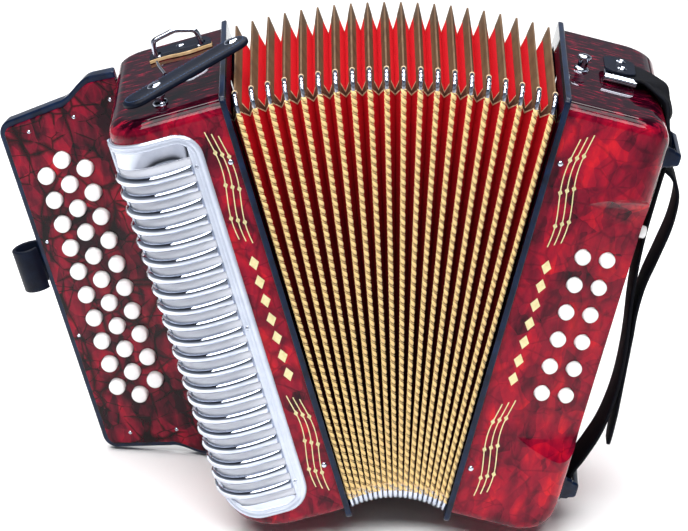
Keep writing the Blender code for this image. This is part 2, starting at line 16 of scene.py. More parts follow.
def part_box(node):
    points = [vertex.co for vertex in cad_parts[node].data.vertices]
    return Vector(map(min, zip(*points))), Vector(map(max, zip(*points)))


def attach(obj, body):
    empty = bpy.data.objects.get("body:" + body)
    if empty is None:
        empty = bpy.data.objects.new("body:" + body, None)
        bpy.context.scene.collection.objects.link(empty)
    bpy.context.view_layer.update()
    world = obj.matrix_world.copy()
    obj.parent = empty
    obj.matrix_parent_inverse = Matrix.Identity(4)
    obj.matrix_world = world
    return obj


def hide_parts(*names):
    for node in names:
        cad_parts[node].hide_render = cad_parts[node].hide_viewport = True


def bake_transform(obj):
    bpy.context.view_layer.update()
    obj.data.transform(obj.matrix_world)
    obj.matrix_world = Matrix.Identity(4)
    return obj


MM = 0.001
WELD_DISTANCE = 1e-4
BEVEL_ANGLE = 35.0

# Casings, as in the frame
HEIGHT = 310.0
DEPTH = 182.0
TREBLE_WIDTH = 79.0
BASS_WIDTH = 71.0
TREBLE_CORNERS = {"front": 27.0, "back": 14.0, "low": 25.0, "high": 10.0, "edge": 8.5}
BASS_CORNERS = {"front": 14.0, "back": 14.0, "low": 22.0, "high": 16.0, "edge": 8.5}
TREBLE_LEAN, TREBLE_TOE = 15.33, 2.04
BASS_LEAN, BASS_TOE = 13.78, 2.97

# Bellows
FOLDS = 20
FOLD_PITCH = 3.25
FOLD_DEPTH = 17.0
FOLD_SKIN = 0.8
FOLD_ROUND = 8.0
VALLEY_ROUND = 2.6
FRAME_THICKNESS = 4.25
FRAME_PROUD = 3.5
FRAME_BORDER = 15.5
CLOSED_GAP = FOLDS * FOLD_PITCH + 2 * FRAME_THICKNESS
FAN_POLE = Vector((30.0, 0.0, -2.87))
CORD_RADIUS = (1.55, 1.95)
CORD_LAY = 5.6
CORD_RINGS_PER_LAY = 6
CORD_SIDES = 7
STRAND_OFFSET = 0.38
STRAND_RADIUS = 0.66
CAP_RADIUS = 1.6
CAP_REACH = 10.0
TAPE_REACH = 0.45
TAPE_SHOULDER = 0.12
TAPE_FOLD = 0.02
TAPE_START = 4
PIPING_RADIUS = 0.5

# Grille
GRILLE_START = 20.0
GRILLE_RISE = (13.0, 297.0)
GRILLE_ROUND = 18.0
GRILLE_SIDE = 5.0
LOUVRES = 22
LOUVRE_PITCH = 11.9
LOUVRE_FIRST = 24.0
LOUVRE_SLOT = 5.7
LOUVRE_START = 9.0
LOUVRE_BULGE = 3.4
LOUVRE_ROWS = 10
LOUVRE_FADE = 22.0
TOP_DISH = 0.85
GRILLE_PLATE = 1.3
GRILLE_SHEET = 0.7
RIM_END = 3.0

# Fingerboard and buttons. Rows are (name, out, count, first height), the step is (start, end, drop), and
# a button's sizes are its radius, how far it stands out and how far it goes in.
BOARD_TURN = 11.7
BOARD_ORIGIN = (80.0, 139.4)
BOARD_MIDDLE = 156.4
BOARD_REACH = 95.0
BOARD_INNER_HALF = 152.0
BOARD_OUTER_HALF = 131.0
BOARD_STEP = (18.0, 47.0, 13.5)
BOARD_CORNER = 9.0
COVER_THICKNESS = 1.7
COVER_INSET = 2.4
BODY_THICKNESS = 12.0
BODY_MARGIN = 2.0
CASING_GAP = 0.3
BUTTON_PITCH = 19.13
TREBLE_ROWS = (("outer", 71.66, 10, 245.1), ("middle", 56.55, 11, 254.7), ("inner", 41.44, 10, 245.1))
TREBLE_BUTTON = (6.1, 4.4, 3.5)
PANEL_START = 20.0
PANEL_TURN = 18.8
PANEL_RISE = (84.0, 232.0)
PANEL_SWEEP = 31.0
BASS_PITCH = 20.46
BASS_COLUMNS = (("inner", 17.7), ("outer", 35.75))
BASS_PER_COLUMN = 6
BASS_FIRST = 207.3
BASS_BUTTON = (5.3, 4.0, 4.0)
AIR_BUTTON = {"back": 25.0, "up": 228.0, "sizes": (4.3, 5.0, 3.5)}
BUTTON_CLEARANCE = 0.5

# Padded bellows strap, in its own frame: it swivels on the stud at 0, and its levels are (up, pulled in)
STRAP_PLACE = (-41.0, 33.0, 318.4)
STRAP_TURN, STRAP_TILT = 29.5, -6.0
STRAP_ALONG = (-25.0, 74.0)
STRAP_HALF = 11.0
STRAP_LEVELS = (
    (0.0, 0.6), (0.5, 0.1), (1.2, 0.0), (2.6, 0.0), (3.4, 0.5), (3.9, 1.6), (4.6, 4.0), (4.9, 7.0)
)
STITCH_INSET, STITCH_PITCH, STITCH_LEVEL = 2.6, 2.6, 4.05

# Brackets of the hand strap: how high each one is, and its steps outwards as (across, pulled in)
BRACKET_RISES = (("lower", (19.0, 37.0)), ("upper", (273.0, 289.0)))
BRACKET_STEPS = ((68.0, -1.0), (74.0, -0.4), (74.6, 0.8), (79.0, 1.6), (79.6, 2.4), (83.2, 3.4), (84.4, 4.6))

# Screws, as (out, up) on the fingerboard and heights on the grille and the frames
BOARD_SCREWS = (
    (8.0, 291.0), (38.0, 284.0), (74.0, 280.0), (88.0, 195.5), (88.0, 118.5), (74.0, 33.5), (38.0, 29.5),
    (8.0, 22.5),
)
GRILLE_SCREWS = (271.7, 152.7, 33.5)
PIN_RISES = (268.5, 39.5)

# Ornament
ORNAMENT_LEVELS = (-0.12, 0.2)
ORNAMENT_RISES = ((210.0, 288.0), (20.0, 92.0))
ROW_RISE = (112.0, 196.0)

# Celluloid: how steeply a flake slopes, and how much each size of flake and the smoke count
FLAKE_SLOPE = 1.1
LARGE_FLAKES, SMALL_FLAKES, SMOKE = 0.16, 0.13, 0.88
# The casings' top face, which the celluloid paints darker as painted shade
TOP_FACE = (HEIGHT - 4.0, HEIGHT - 1.0)
THREAD_DEPTH = 0.25

# Strap ring and its leather tab, in the treble frame
TAB_ACROSS = (-51.7, -6.6)
TAB_RISE = (HEIGHT + 0.3, HEIGHT + 3.2)
TAB_STEPS = 30
TAB_SEAM = 142.0
RING_BAR = (137.0, HEIGHT + 2.05)
RING_WIRE = 1.9
RING_LEGS = (-46.3, -13.9)

# Camera: its place, in millimetres from the treble casing's inner low front corner, its dip and its lens
CAMERA_PLACE = (-1.0, -1556.8, 786.9)
CAMERA_DIP = 21.17
CAMERA_LENS = 130.9

# Studio
FLOOR_REACH = 12.0
FLOOR_LEVEL = -0.0005
FLOOR_SHADE = (-0.10, -0.60)
SKY_STRENGTH = 0.8
LIGHT_AIM = (0.0, 0.0, 0.15)
STUDIO_LIGHTS = (
    ("overhead", (0.0, -0.1, 1.95), (2.4, 1.0), 44.0), ("front", (-0.25, -1.25, 1.70), (2.2, 0.75), 49.0),
    ("rear", (0.0, 1.7, 2.3), (2.6, 0.8), 50.0),
)


def place(across, back, up):
    return Matrix.Translation(Vector((across, back, up)) * MM)


def turned(axis, degrees):
    return Matrix.Rotation(math.radians(degrees), 4, axis)


# ---------------------------------------------------------------- frames

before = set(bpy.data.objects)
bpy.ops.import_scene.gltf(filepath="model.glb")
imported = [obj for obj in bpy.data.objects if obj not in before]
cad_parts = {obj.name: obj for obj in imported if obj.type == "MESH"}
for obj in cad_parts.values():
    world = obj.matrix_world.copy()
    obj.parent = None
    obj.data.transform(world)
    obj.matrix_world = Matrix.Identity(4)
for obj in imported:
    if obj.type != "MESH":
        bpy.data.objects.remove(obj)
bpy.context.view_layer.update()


def find_treble_corner(turn):
    """Where the treble frame's origin is, from the box of its bellows frame."""
    sides = (
        (-FRAME_THICKNESS + 0.3, -0.3), (-FRAME_PROUD, DEPTH + FRAME_PROUD),
        (-FRAME_PROUD, HEIGHT + FRAME_PROUD),
    )
    corners = [turn @ (Vector((x, y, z)) * MM) for x in sides[0] for y in sides[1] for z in sides[2]]
    low = Vector(min(corner[i] for corner in corners) for i in range(3))
    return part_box("treble_bellows_frame")[0] - low


TREBLE_TURN = turned("Z", TREBLE_TOE) @ turned("Y", -TREBLE_LEAN)
BASS_TURN = turned("Z", -BASS_TOE) @ turned("Y", BASS_LEAN)
FAN_TURN = (TREBLE_TURN.to_3x3().transposed() @ BASS_TURN.to_3x3()).to_quaternion()
CORNER = find_treble_corner(TREBLE_TURN)
TREBLE = Matrix.Translation(CORNER) @ TREBLE_TURN
SWING = (
    Matrix.Translation(FAN_POLE * MM) @ Matrix.Rotation(
        FAN_TURN.angle, 4, FAN_TURN.axis
    ) @ Matrix.Translation(-FAN_POLE * MM)
)
BASS = TREBLE @ SWING @ place(CLOSED_GAP, 0.0, 0.0)
BOARD = TREBLE @ place(-BOARD_ORIGIN[0], BOARD_ORIGIN[1], 0.0) @ turned("Z", -BOARD_TURN)
PANEL = BASS @ place(PANEL_START, 0.0, 0.0) @ turned("Z", PANEL_TURN)


# ---------------------------------------------------------------- shapes

def arc(centre, radius, start, end, steps=8):
    angles = [math.radians(start + (end - start) * i / steps) for i in range(steps + 1)]
    return [(centre[0] + radius * math.cos(a), centre[1] + radius * math.sin(a)) for a in angles]


def rounded_rectangle(first, second, radius, steps=6):
    (a0, a1), (b0, b1) = first, second
    points = arc((a0 + radius, b0 + radius), radius, 180, 270, steps)
    points += arc((a1 - radius, b0 + radius), radius, 270, 360, steps)
    points += arc((a1 - radius, b1 - radius), radius, 0, 90, steps)
    return points + arc((a0 + radius, b1 - radius), radius, 90, 180, steps)


def point_on(axis, first, second, along):
    if axis == "x":
        return (along, first, second)
    if axis == "y":
        return (first, along, second)
    return (first, second, along)


def add_rings(solid, rings, closed=True, caps=True, looped=False):
    """Joins rings of points into a skin. A looped skin also joins its last ring to its first."""
    rows = [[solid.verts.new(point) for point in ring] for ring in rings]
    count = len(rows[0])
    pairs = list(zip(rows, rows[1:])) + ([(rows[-1], rows[0])] if looped else [])
    for near, far in pairs:
        for i in range(count if closed else count - 1):
            following = (i + 1) % count
            solid.faces.new((near[i], near[following], far[following], far[i]))
    if caps and not looped:
        solid.faces.new(rows[0])
        solid.faces.new(rows[-1])
    return rows


def prism(outline, axis, low, high, solid=None):
    solid = solid or bmesh.new()
    add_rings(solid, [[point_on(axis, a, b, along) for a, b in outline] for along in (low, high)])
    return solid


def box(across, back, up):
    outline = [(across[0], back[0]), (across[1], back[0]), (across[1], back[1]), (across[0], back[1])]
    return prism(outline, "z", *up)


def lathe(profile, sides=32, solid=None, axis="y", centre=(0.0, 0.0)):
    """Turns (radius, along) points round an axis, and caps both ends."""
    solid = solid or bmesh.new()
    rings = [
        [point_on(axis, a, b, along) for a, b in arc(centre, radius, 0, 360 - 360 / sides, sides - 1)]
        for radius, along in profile
    ]
    add_rings(solid, rings)
    return solid


def smooth_route(stations, per_stretch=6, closed=False):
    """A Catmull-Rom curve through the stations."""
    points = [Vector(s) for s in stations]
    count = len(points)
    route = []
    stretches = count if closed else count - 1
    for i in range(stretches):
        def at(k):
            return points[k % count] if closed else points[min(max(k, 0), count - 1)]
        before, start, end, after = at(i - 1), at(i), at(i + 1), at(i + 2)
        for step in range(per_stretch):
            t = step / per_stretch
            route.append(0.5 * (
                2 * start + (end - before) * t + (2 * before - 5 * start + 4 * end - after) * t * t
                + (3 * start - before - 3 * end + after) * t ** 3
            ))
    if not closed:
        route.append(points[-1])
    return route


def tangents(route, closed=False):
    count = len(route)
    if closed:
        return [(route[(i + 1) % count] - route[i - 1]).normalized() for i in range(count)]
    return [(route[min(i + 1, count - 1)] - route[max(i - 1, 0)]).normalized() for i in range(count)]


def sweep(route, side_way, section, closed=False, solid=None, scales=None):
    """Carries a section, in (side, out) points, along a route. The side direction stays near side_way."""
    solid = solid or bmesh.new()
    rings = []
    for i, (point, tangent) in enumerate(zip(route, tangents(route, closed))):
        side = Vector(side_way)
        side = (side - tangent * side.dot(tangent)).normalized()
        out = tangent.cross(side)
        scale = scales[i] if scales else 1.0
        rings.append([point + side * (a * scale) + out * b for a, b in section])
    add_rings(solid, rings, looped=closed)
    return solid


def round_section(radius, sides=12):
    return arc((0.0, 0.0), radius, 0, 360 - 360 / sides, sides - 1)


def strap_section(width, thickness):
    """A leather strap's cross-section: nearly flat, with rounded edges."""
    return rounded_rectangle((-width / 2, width / 2), (-thickness / 2, thickness / 2), thickness * 0.4, 3)


# ---------------------------------------------------------------- pieces

def join_frame(mesh, frame_matrix):
    """Keeps each point's place in its own frame for the materials, then moves the mesh to the row frame."""
    if "place" not in mesh.attributes:
        points = np.zeros(len(mesh.vertices) * 3, np.float32)
        mesh.vertices.foreach_get("co", points)
        kept = mesh.attributes.new("place", "FLOAT_VECTOR", "POINT")
        kept.data.foreach_set("vector", points / MM)
    mesh.transform(frame_matrix)


def object_of(name, solid):
    """Turns a bmesh in millimetres into an object in metres."""
    bmesh.ops.recalc_face_normals(solid, faces=solid.faces)
    bmesh.ops.scale(solid, vec=(MM, MM, MM), verts=solid.verts)
    mesh = bpy.data.meshes.new(name)
    solid.to_mesh(mesh)
    solid.free()
    made = bpy.data.objects.new(name, mesh)
    bpy.context.collection.objects.link(made)
    return made


def bake(piece):
    """Replaces a piece's mesh by what its modifiers make of it."""
    bpy.context.view_layer.update()
    graph = bpy.context.evaluated_depsgraph_get()
    mesh = bpy.data.meshes.new_from_object(piece.evaluated_get(graph))
    piece.modifiers.clear()
    piece.data = mesh


def add_piece(
    name, solid, frame_matrix, material, body=None, replaces=(), smooth=35.0, bevel=0.0, cuts=(),
    segments=3,
):
    """Makes a finished piece that rides on a body. The cuts are solids that are taken out of it."""
    bmesh.ops.remove_doubles(solid, verts=solid.verts, dist=WELD_DISTANCE)
    piece = object_of(name, solid)
    cutters = [object_of(f"{name}_cutter_{i}", cutter) for i, cutter in enumerate(cuts)]
    for cutter in cutters:
        modifier = piece.modifiers.new(cutter.name, "BOOLEAN")
        modifier.operation = "DIFFERENCE"
        modifier.solver = "EXACT"
        modifier.object = cutter
    if bevel:
        modifier = piece.modifiers.new("bevel", "BEVEL")
        modifier.width = bevel * MM
        modifier.segments = segments
        modifier.limit_method = "ANGLE"
        modifier.angle_limit = math.radians(BEVEL_ANGLE)
    if cutters or bevel:
        bake(piece)
    for cutter in cutters:
        bpy.data.objects.remove(cutter)
    mesh = piece.data
    join_frame(mesh, frame_matrix)
    for key in (material,) if isinstance(material, str) else material:
        mesh.materials.append(MATERIALS[key])
    mesh.shade_smooth()
    mesh.set_sharp_from_angle(angle=math.radians(smooth))
    if bevel or name.endswith("shell"):
        modifier = piece.modifiers.new("flat_faces", "WEIGHTED_NORMAL")
        modifier.keep_sharp = True
        bake(piece)
    if body:
        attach(piece, body)
    if replaces:
        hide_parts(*replaces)
    return piece


# ---------------------------------------------------------------- materials
# Patterns follow each point's place in its own frame, so their scales are per millimetre. Only the bare
# pieces, which keep their CAD mesh, are in metres.

def set_input(tree, socket, value):
    """Links a socket to another node's output, or sets it to a constant."""
    if isinstance(value, bpy.types.NodeSocket):
        tree.links.new(value, socket)
    else:
        socket.default_value = value


def add_node(tree, kind, inputs=None, **settings):
    node = tree.nodes.new("ShaderNode" + kind)
    for key, value in settings.items():
        setattr(node, key, value)
    for key, value in (inputs or {}).items():
        set_input(tree, node.inputs[key], value)
    return node


def start_material(name, **sockets):
    """A new material with a Principled shader whose constant sockets are set by name."""
    made = bpy.data.materials.new(name)
    made.use_nodes = True
    shader = made.node_tree.nodes["Principled BSDF"]
    for key, value in sockets.items():
        shader.inputs[key.replace("_", " ")].default_value = value
    return made, made.node_tree, shader


def place_of(tree):
    return add_node(tree, "Attribute", attribute_name="place").outputs["Vector"]


def vector_node(tree, operation, first, second):
    return add_node(tree, "VectorMath", {0: first, 1: second}, operation=operation).outputs["Vector"]


def scaled(tree, vector, factors):
    return vector_node(tree, "MULTIPLY", vector, factors)


def math_node(tree, operation, first, second=0.0, clamp=False):
    return add_node(tree, "Math", {0: first, 1: second}, operation=operation, use_clamp=clamp).outputs[0]


def weighted_sum(tree, *terms):
    """Adds values, each times a weight of its own."""
    total = None
    for value, weight in terms:
        part = math_node(tree, "MULTIPLY", value, weight)
        total = part if total is None else math_node(tree, "ADD", total, part)
    return total


def noise(tree, vector, scale, detail=3.0, roughness=0.55):
    return add_node(
        tree, "TexNoise", {"Vector": vector, "Scale": scale, "Detail": detail, "Roughness": roughness}
    )


def ramp(tree, value, stops):
    node = add_node(tree, "ValToRGB", {"Fac": value})
    elements = node.color_ramp.elements
    while len(elements) < len(stops):
        elements.new(0.5)
    for element, (position, colour) in zip(elements, stops):
        element.position = position
        element.color = (*colour, 1.0)
    return node.outputs["Color"]


def paint(tree, shader, value, stops):
    """Colours a shader by a value."""
    tree.links.new(ramp(tree, value, stops), shader.inputs["Base Color"])


def multiplied(tree, first, second):
    return add_node(
        tree, "Mix", {"Factor": 1.0, 6: first, 7: second}, data_type="RGBA", blend_type="MULTIPLY"
    ).outputs[2]


def map_range(tree, value, start=(0.0, 1.0), end=(0.0, 1.0)):
    """Carries a value from one range to another."""
    inputs = {"Value": value, "From Min": start[0], "From Max": start[1], "To Min": end[0], "To Max": end[1]}
    return add_node(tree, "MapRange", inputs).outputs["Result"]


def clouds_of(tree, scale, detail):
    """Soft clouds over a piece, at a scale in patches per millimetre."""
    return noise(tree, place_of(tree), scale, detail).outputs["Fac"]


def bump(tree, shader, height, strength, distance):
    node = add_node(tree, "Bump", {"Height": height, "Strength": strength, "Distance": distance * MM})
    tree.links.new(node.outputs["Normal"], shader.inputs["Normal"])


def warped(tree, vector, scale, detail, reach):
    """Shifts the places that a pattern is drawn at, so that its edges bend."""
    drift = noise(tree, vector, scale, detail).outputs["Color"]
    drift = vector_node(tree, "SUBTRACT", drift, (0.5, 0.5, 0.5))
    return vector_node(tree, "ADD", vector, scaled(tree, drift, (reach, reach, reach)))


def facets(tree, vector, scale, warp_scale, warp_reach):
    """Crumpled flakes: each one slopes its own way around a level of its own."""
    bent = warped(tree, vector, warp_scale, 2.0, warp_reach)
    cells = add_node(tree, "TexVoronoi", {"Vector": bent, "Scale": scale})
    colour = cells.outputs["Color"]
    towards = vector_node(tree, "SUBTRACT", colour, (0.5, 0.5, 0.5))
    offset = vector_node(tree, "SUBTRACT", bent, cells.outputs["Position"])
    slope = add_node(tree, "VectorMath", {0: towards, 1: offset}, operation="DOT_PRODUCT").outputs["Value"]
    level = add_node(tree, "SeparateColor", {"Color": colour}).outputs["Red"]
    return weighted_sum(tree, (slope, scale * FLAKE_SLOPE), (level, 1.0))


def seams(tree, vector, scale, width, reach):
    """Dark slivers between crumpled shards: straight edges that swell in some places and vanish in others."""
    bent = warped(tree, vector, 0.03, 1.0, reach)
    edges = add_node(tree, "TexVoronoi", {"Vector": bent, "Scale": scale}, feature="DISTANCE_TO_EDGE")
    patches = noise(tree, vector, 0.045, 3.0).outputs["Fac"]
    wide = map_range(tree, patches, (0.42, 0.68), (0.001, width))
    return math_node(tree, "DIVIDE", edges.outputs["Distance"], wide, clamp=True)


def make_celluloid(name, lift, darkness):
    """Red pearl celluloid: smoky crumpled flakes under a clear gloss.

    The lift brightens or darkens the whole sheet, as painted light or shade on each copy, and the darkness
    says how black the seams between shards are.
    """
    made, tree, shader = start_material(
        name, Roughness=0.5, Specular_IOR_Level=0.0, Coat_Weight=1.0, Coat_Roughness=0.02, Coat_IOR=1.30
    )
    vector = place_of(tree)
    large = facets(tree, vector, 0.050, 0.04, 10.0)
    small = facets(tree, scaled(tree, vector, (1.0, 1.0, 0.5)), 0.12, 0.06, 9.0)
    smoke = noise(tree, scaled(tree, vector, (1.0, 1.0, 0.40)), 0.075, 4.0).outputs["Fac"]
    level = weighted_sum(tree, (large, LARGE_FLAKES), (small, SMALL_FLAKES), (smoke, SMOKE))
    height = add_node(tree, "SeparateXYZ", {"Vector": vector}).outputs["Z"]
    dashes = noise(tree, scaled(tree, vector, (0.08, 0.40, 0.3)), 1.0, 3.0).outputs["Fac"]
    front_level = math_node(tree, "ADD", level, lift)
    # Painted shade: the top face gets a darker level of its own, with lighter streaks.
    painted_top_shade = math_node(tree, "ADD", math_node(tree, "MULTIPLY", dashes, 2.0), -0.74)
    on_top = map_range(tree, height, TOP_FACE)
    blend = add_node(tree, "Mix", {"Factor": on_top, 2: front_level, 3: painted_top_shade}).outputs["Result"]
    colour = ramp(tree, blend, (
        (0.34, (0.014, 0.0006, 0.004)), (0.46, (0.085, 0.0016, 0.011)), (0.60, (0.21, 0.0028, 0.018)),
        (0.72, (0.32, 0.0036, 0.019)), (0.86, (0.55, 0.008, 0.018)),
    ))
    broad = seams(tree, scaled(tree, vector, (1.0, 1.0, 0.7)), 0.036, 0.16, 14.0)
    fine = seams(tree, scaled(tree, vector, (0.8, 1.0, 1.1)), 0.062, 0.13, 10.0)
    deepest = 1.0 - darkness
    middle = 0.5 + deepest / 2
    shade = ramp(tree, math_node(tree, "MULTIPLY", broad, fine), (
        (0.0, (deepest, deepest, deepest * 1.3)), (0.55, (middle, middle, middle)), (1.0, (1.0, 1.0, 1.0)),
    ))
    tree.links.new(multiplied(tree, colour, shade), shader.inputs["Base Color"])
    bump(tree, shader, level, 0.05, 0.3)
    return made


def make_plated(name, metallic, dark, light, roughness):
    """Plated metal. With a lower metallic value part of its colour is diffuse: a painted pale sheen that
    stays whatever it mirrors.
    """
    made, tree, shader = start_material(name, Metallic=metallic)
    spots = clouds_of(tree, 0.08, 4.0)
    paint(tree, shader, spots, ((0.3, dark), (0.7, light)))
    tree.links.new(map_range(tree, spots, end=roughness), shader.inputs["Roughness"])
    return made


def make_white_plastic():
    made, tree, shader = start_material(
        "white_plastic", Coat_Weight=0.6, Coat_Roughness=0.05, Roughness=0.25
    )
    paint(tree, shader, clouds_of(tree, 0.2, 2.0), ((0.3, (0.86, 0.87, 0.87)), (0.7, (0.93, 0.93, 0.92))))
    return made


def make_lacquer():
    made, tree, shader = start_material(
        "black_lacquer", Roughness=0.35, Specular_IOR_Level=0.1, Coat_Weight=1.0, Coat_Roughness=0.05,
        Coat_IOR=1.25,
    )
    clouds = clouds_of(tree, 0.12, 4.0)
    # The navy tint of this black lacquer is a painted blue reflection.
    paint(tree, shader, clouds, ((0.3, (0.002, 0.004, 0.012)), (0.75, (0.004, 0.016, 0.052))))
    bump(tree, shader, clouds, 0.05, 0.3)
    return made


def make_leather(name, colours, roughness):
    made, tree, shader = start_material(name, Specular_IOR_Level=0.12)
    vector = place_of(tree)
    cells = add_node(tree, "TexVoronoi", {"Vector": vector, "Scale": 0.9}, feature="SMOOTH_F1")
    creases = noise(tree, vector, 0.15, 5.0).outputs["Fac"]
    paint(tree, shader, creases, ((0.3, colours[0]), (0.75, colours[1])))
    tree.links.new(map_range(tree, creases, end=roughness), shader.inputs["Roughness"])
    height = weighted_sum(tree, (cells.outputs["Distance"], 1.0), (creases, 0.8))
    bump(tree, shader, height, 0.35, 0.25)
    return made


def threads_of(tree, vector, scale, way):
    wave = {"Vector": vector, "Scale": scale}
    return add_node(tree, "TexWave", wave, bands_direction=way, wave_profile="SIN").outputs["Fac"]


def weave(tree, vector, across, along):
    """Crossing threads: a height that rises where one thread passes over the other."""
    first = threads_of(tree, vector, across, "X")
    second = threads_of(tree, vector, along, "Z")
    over = math_node(tree, "MULTIPLY", first, second)
    first_gap = math_node(tree, "SUBTRACT", 1.0, first)
    second_gap = math_node(tree, "SUBTRACT", 1.0, second)
    return math_node(tree, "ADD", over, math_node(tree, "MULTIPLY", first_gap, second_gap))


def make_cloth(name, stops, threads, roughness=0.9):
    """Woven cloth: height follows the threads, and so does colour, as painted shade in the gaps between them,
    with worn patches over them.
    """
    made, tree, shader = start_material(name, Roughness=roughness, Specular_IOR_Level=0.15)
    vector = place_of(tree)
    height = weave(tree, vector, *threads)
    patches = noise(tree, vector, 0.06, 4.0).outputs["Fac"]
    # Painted shade in the gaps of the weave, plus random worn patches.
    paint(tree, shader, weighted_sum(tree, (height, 0.7), (patches, 0.4)), stops)
    bump(tree, shader, height, 0.5, THREAD_DEPTH)
    return made


def make_sleeve():
    """The folds' red cloth, with painted shade that darkens it towards the bottom of the bellows."""
    made, tree, shader = start_material("red_cloth", Roughness=0.9, Specular_IOR_Level=0.15)
    vector = place_of(tree)
    threads = weave(tree, vector, 0.9, 0.9)
    # Painted shade: the gaps between the threads are darker than the threads.
    shaded_threads = ramp(tree, threads, ((0.2, (0.48, 0.003, 0.012)), (0.8, (0.80, 0.010, 0.024))))
    height = add_node(tree, "SeparateXYZ", {"Vector": vector}).outputs["Z"]
    # Painted shade: darker towards the bottom, where the narrow valleys of the folds fall into shade.
    shade_towards_bottom = ramp(tree, math_node(tree, "DIVIDE", height, HEIGHT), (
        (0.0, (0.05, 0.04, 0.04)), (0.35, (0.12, 0.06, 0.06)), (0.65, (0.42, 0.20, 0.2)),
        (0.88, (1.0, 1.0, 1.0)),
    ))
    tree.links.new(multiplied(tree, shaded_threads, shade_towards_bottom), shader.inputs["Base Color"])
    bump(tree, shader, threads, 0.5, THREAD_DEPTH)
    return made


def make_cord():
    """Twisted golden thread, with painted light and shade: pale on each strand's crown, near black-brown in
    the grooves, with fine fibres.
    """
    made, tree, shader = start_material("gold_cord", Roughness=0.6, Sheen_Weight=0.2)
    vector = place_of(tree)
    painted_strand_shading = add_node(tree, "SeparateXYZ", {"Vector": vector}).outputs["X"]
    fibres = noise(tree, scaled(tree, vector, (1.0, 3.0, 2.0)), 1.0, 4.0, 0.7).outputs["Fac"]
    # Painted light and shade: dark in the grooves between strands, pale on their crowns.
    paint(tree, shader, weighted_sum(tree, (painted_strand_shading, 1.0), (fibres, 0.3)), (
        (0.62, (0.06, 0.028, 0.010)), (0.82, (0.36, 0.21, 0.07)), (1.00, (0.68, 0.45, 0.16)),
        (1.25, (0.80, 0.57, 0.24)),
    ))
    bump(tree, shader, fibres, 0.4, 0.2)
    return made


def make_gold_paint():
    made, tree, shader = start_material("gold_paint", Roughness=0.35, Coat_Weight=0.5)
    paint(tree, shader, clouds_of(tree, 0.3, 3.0), ((0.3, (0.66, 0.56, 0.26)), (0.7, (0.80, 0.72, 0.40))))
    return made


def make_bare(name, colours, scales, metallic=0.0, roughness=0.5):
    """Bare wood or metal on pieces that keep their CAD mesh, streaked along the grain."""
    made, tree, shader = start_material(name, Metallic=metallic, Roughness=roughness)
    vector = add_node(tree, "TexCoord").outputs["Object"]
    streaks = noise(tree, scaled(tree, vector, scales), 1.0, 5.0).outputs["Fac"]
    paint(tree, shader, streaks, ((0.3, colours[0]), (0.7, colours[1])))
    bump(tree, shader, streaks, 0.2, 0.3)
    return made


MATERIALS = {
    # One celluloid in three copies: the fingerboard's is painted darker as painted shade, and the bass
    # casing's a little lighter as painted light.
    "celluloid": make_celluloid("celluloid", 0.03, 0.5),
    "board_celluloid": make_celluloid("board_celluloid", -0.10, 0.93),
    "bass_celluloid": make_celluloid("bass_celluloid", 0.05, 0.38),
    "chrome": make_plated("chrome", 1.0, (0.52, 0.57, 0.67), (0.66, 0.70, 0.79), (0.04, 0.10)),
    # The satin's pale diffuse colour is a painted sheen.
    "satin": make_plated("satin_chrome_and_painted_sheen", 0.4, (0.52, 0.57, 0.68), (0.62, 0.67, 0.78), (0.10, 0.22)),
    "white": make_white_plastic(),
    "lacquer": make_lacquer(),
    "leather": make_leather("leather", ((0.002, 0.003, 0.008), (0.004, 0.008, 0.020)), (0.35, 0.55)),
    "webbing": make_leather("black_webbing", ((0.001, 0.001, 0.002), (0.003, 0.004, 0.008)), (0.7, 0.9)),
    "thread": make_leather("blue_thread", ((0.02, 0.04, 0.09), (0.05, 0.09, 0.17)), (0.6, 0.8)),
    "tan": make_leather("tan_leather", ((0.42, 0.27, 0.13), (0.62, 0.45, 0.26)), (0.5, 0.7)),
    "red_cloth": make_sleeve(),
    "tape": make_cloth(
        "bronze_tape",
        ((0.15, (0.026, 0.013, 0.008)), (0.45, (0.075, 0.038, 0.020)), (0.9, (0.24, 0.15, 0.075))),
        (0.42, 0.42), 0.6,
    ),
    "gusset": make_cloth(
        "brown_gusset", ((0.2, (0.06, 0.018, 0.012)), (0.8, (0.16, 0.06, 0.04))), (0.8, 0.8)
    ),
    "piping": make_cloth("cream_piping", ((0.2, (0.55, 0.36, 0.20)), (0.8, (0.86, 0.68, 0.45))), (0.8, 0.8)),
    "grille_cloth": make_cloth(
        "grille_cloth",
        ((0.15, (0.30, 0.32, 0.40)), (0.40, (0.60, 0.62, 0.70)), (0.8, (0.82, 0.84, 0.88))),
        (0.2, 0.26),
    ),
    "cord": make_cord(),
    "gold": make_gold_paint(),
    "wood": make_bare("bare_spruce", ((0.42, 0.26, 0.12), (0.66, 0.46, 0.25)), (60.0, 60.0, 6.0)),
    "steel": make_bare("bare_steel", ((0.36, 0.36, 0.38), (0.56, 0.56, 0.58)), (90.0, 90.0, 900.0), 1.0, 0.4),
}


# ---------------------------------------------------------------- casings

def rounded(edge, distance):
    """How far a rounded edge has pulled in at a distance inside it."""
    if distance >= edge:
        return 0.0
    return edge - math.sqrt(max(edge * edge - (edge - distance) ** 2, 0.0))


def casing_levels(corners):
    """Heights of the casing's rings, close together where an edge is round."""
    low = [corners["low"] * (1 - math.cos(math.radians(a))) for a in range(0, 91, 9)]
    small = [corners["edge"] * (1 - math.cos(math.radians(a))) for a in range(0, 91, 15)]
    high = [HEIGHT - corners["high"] * (1 - math.cos(math.radians(a))) for a in range(0, 91, 9)]
    top = [HEIGHT - depth for depth in small]
    return sorted(set(round(level, 3) for level in low + small + high + top + [HEIGHT / 2]))


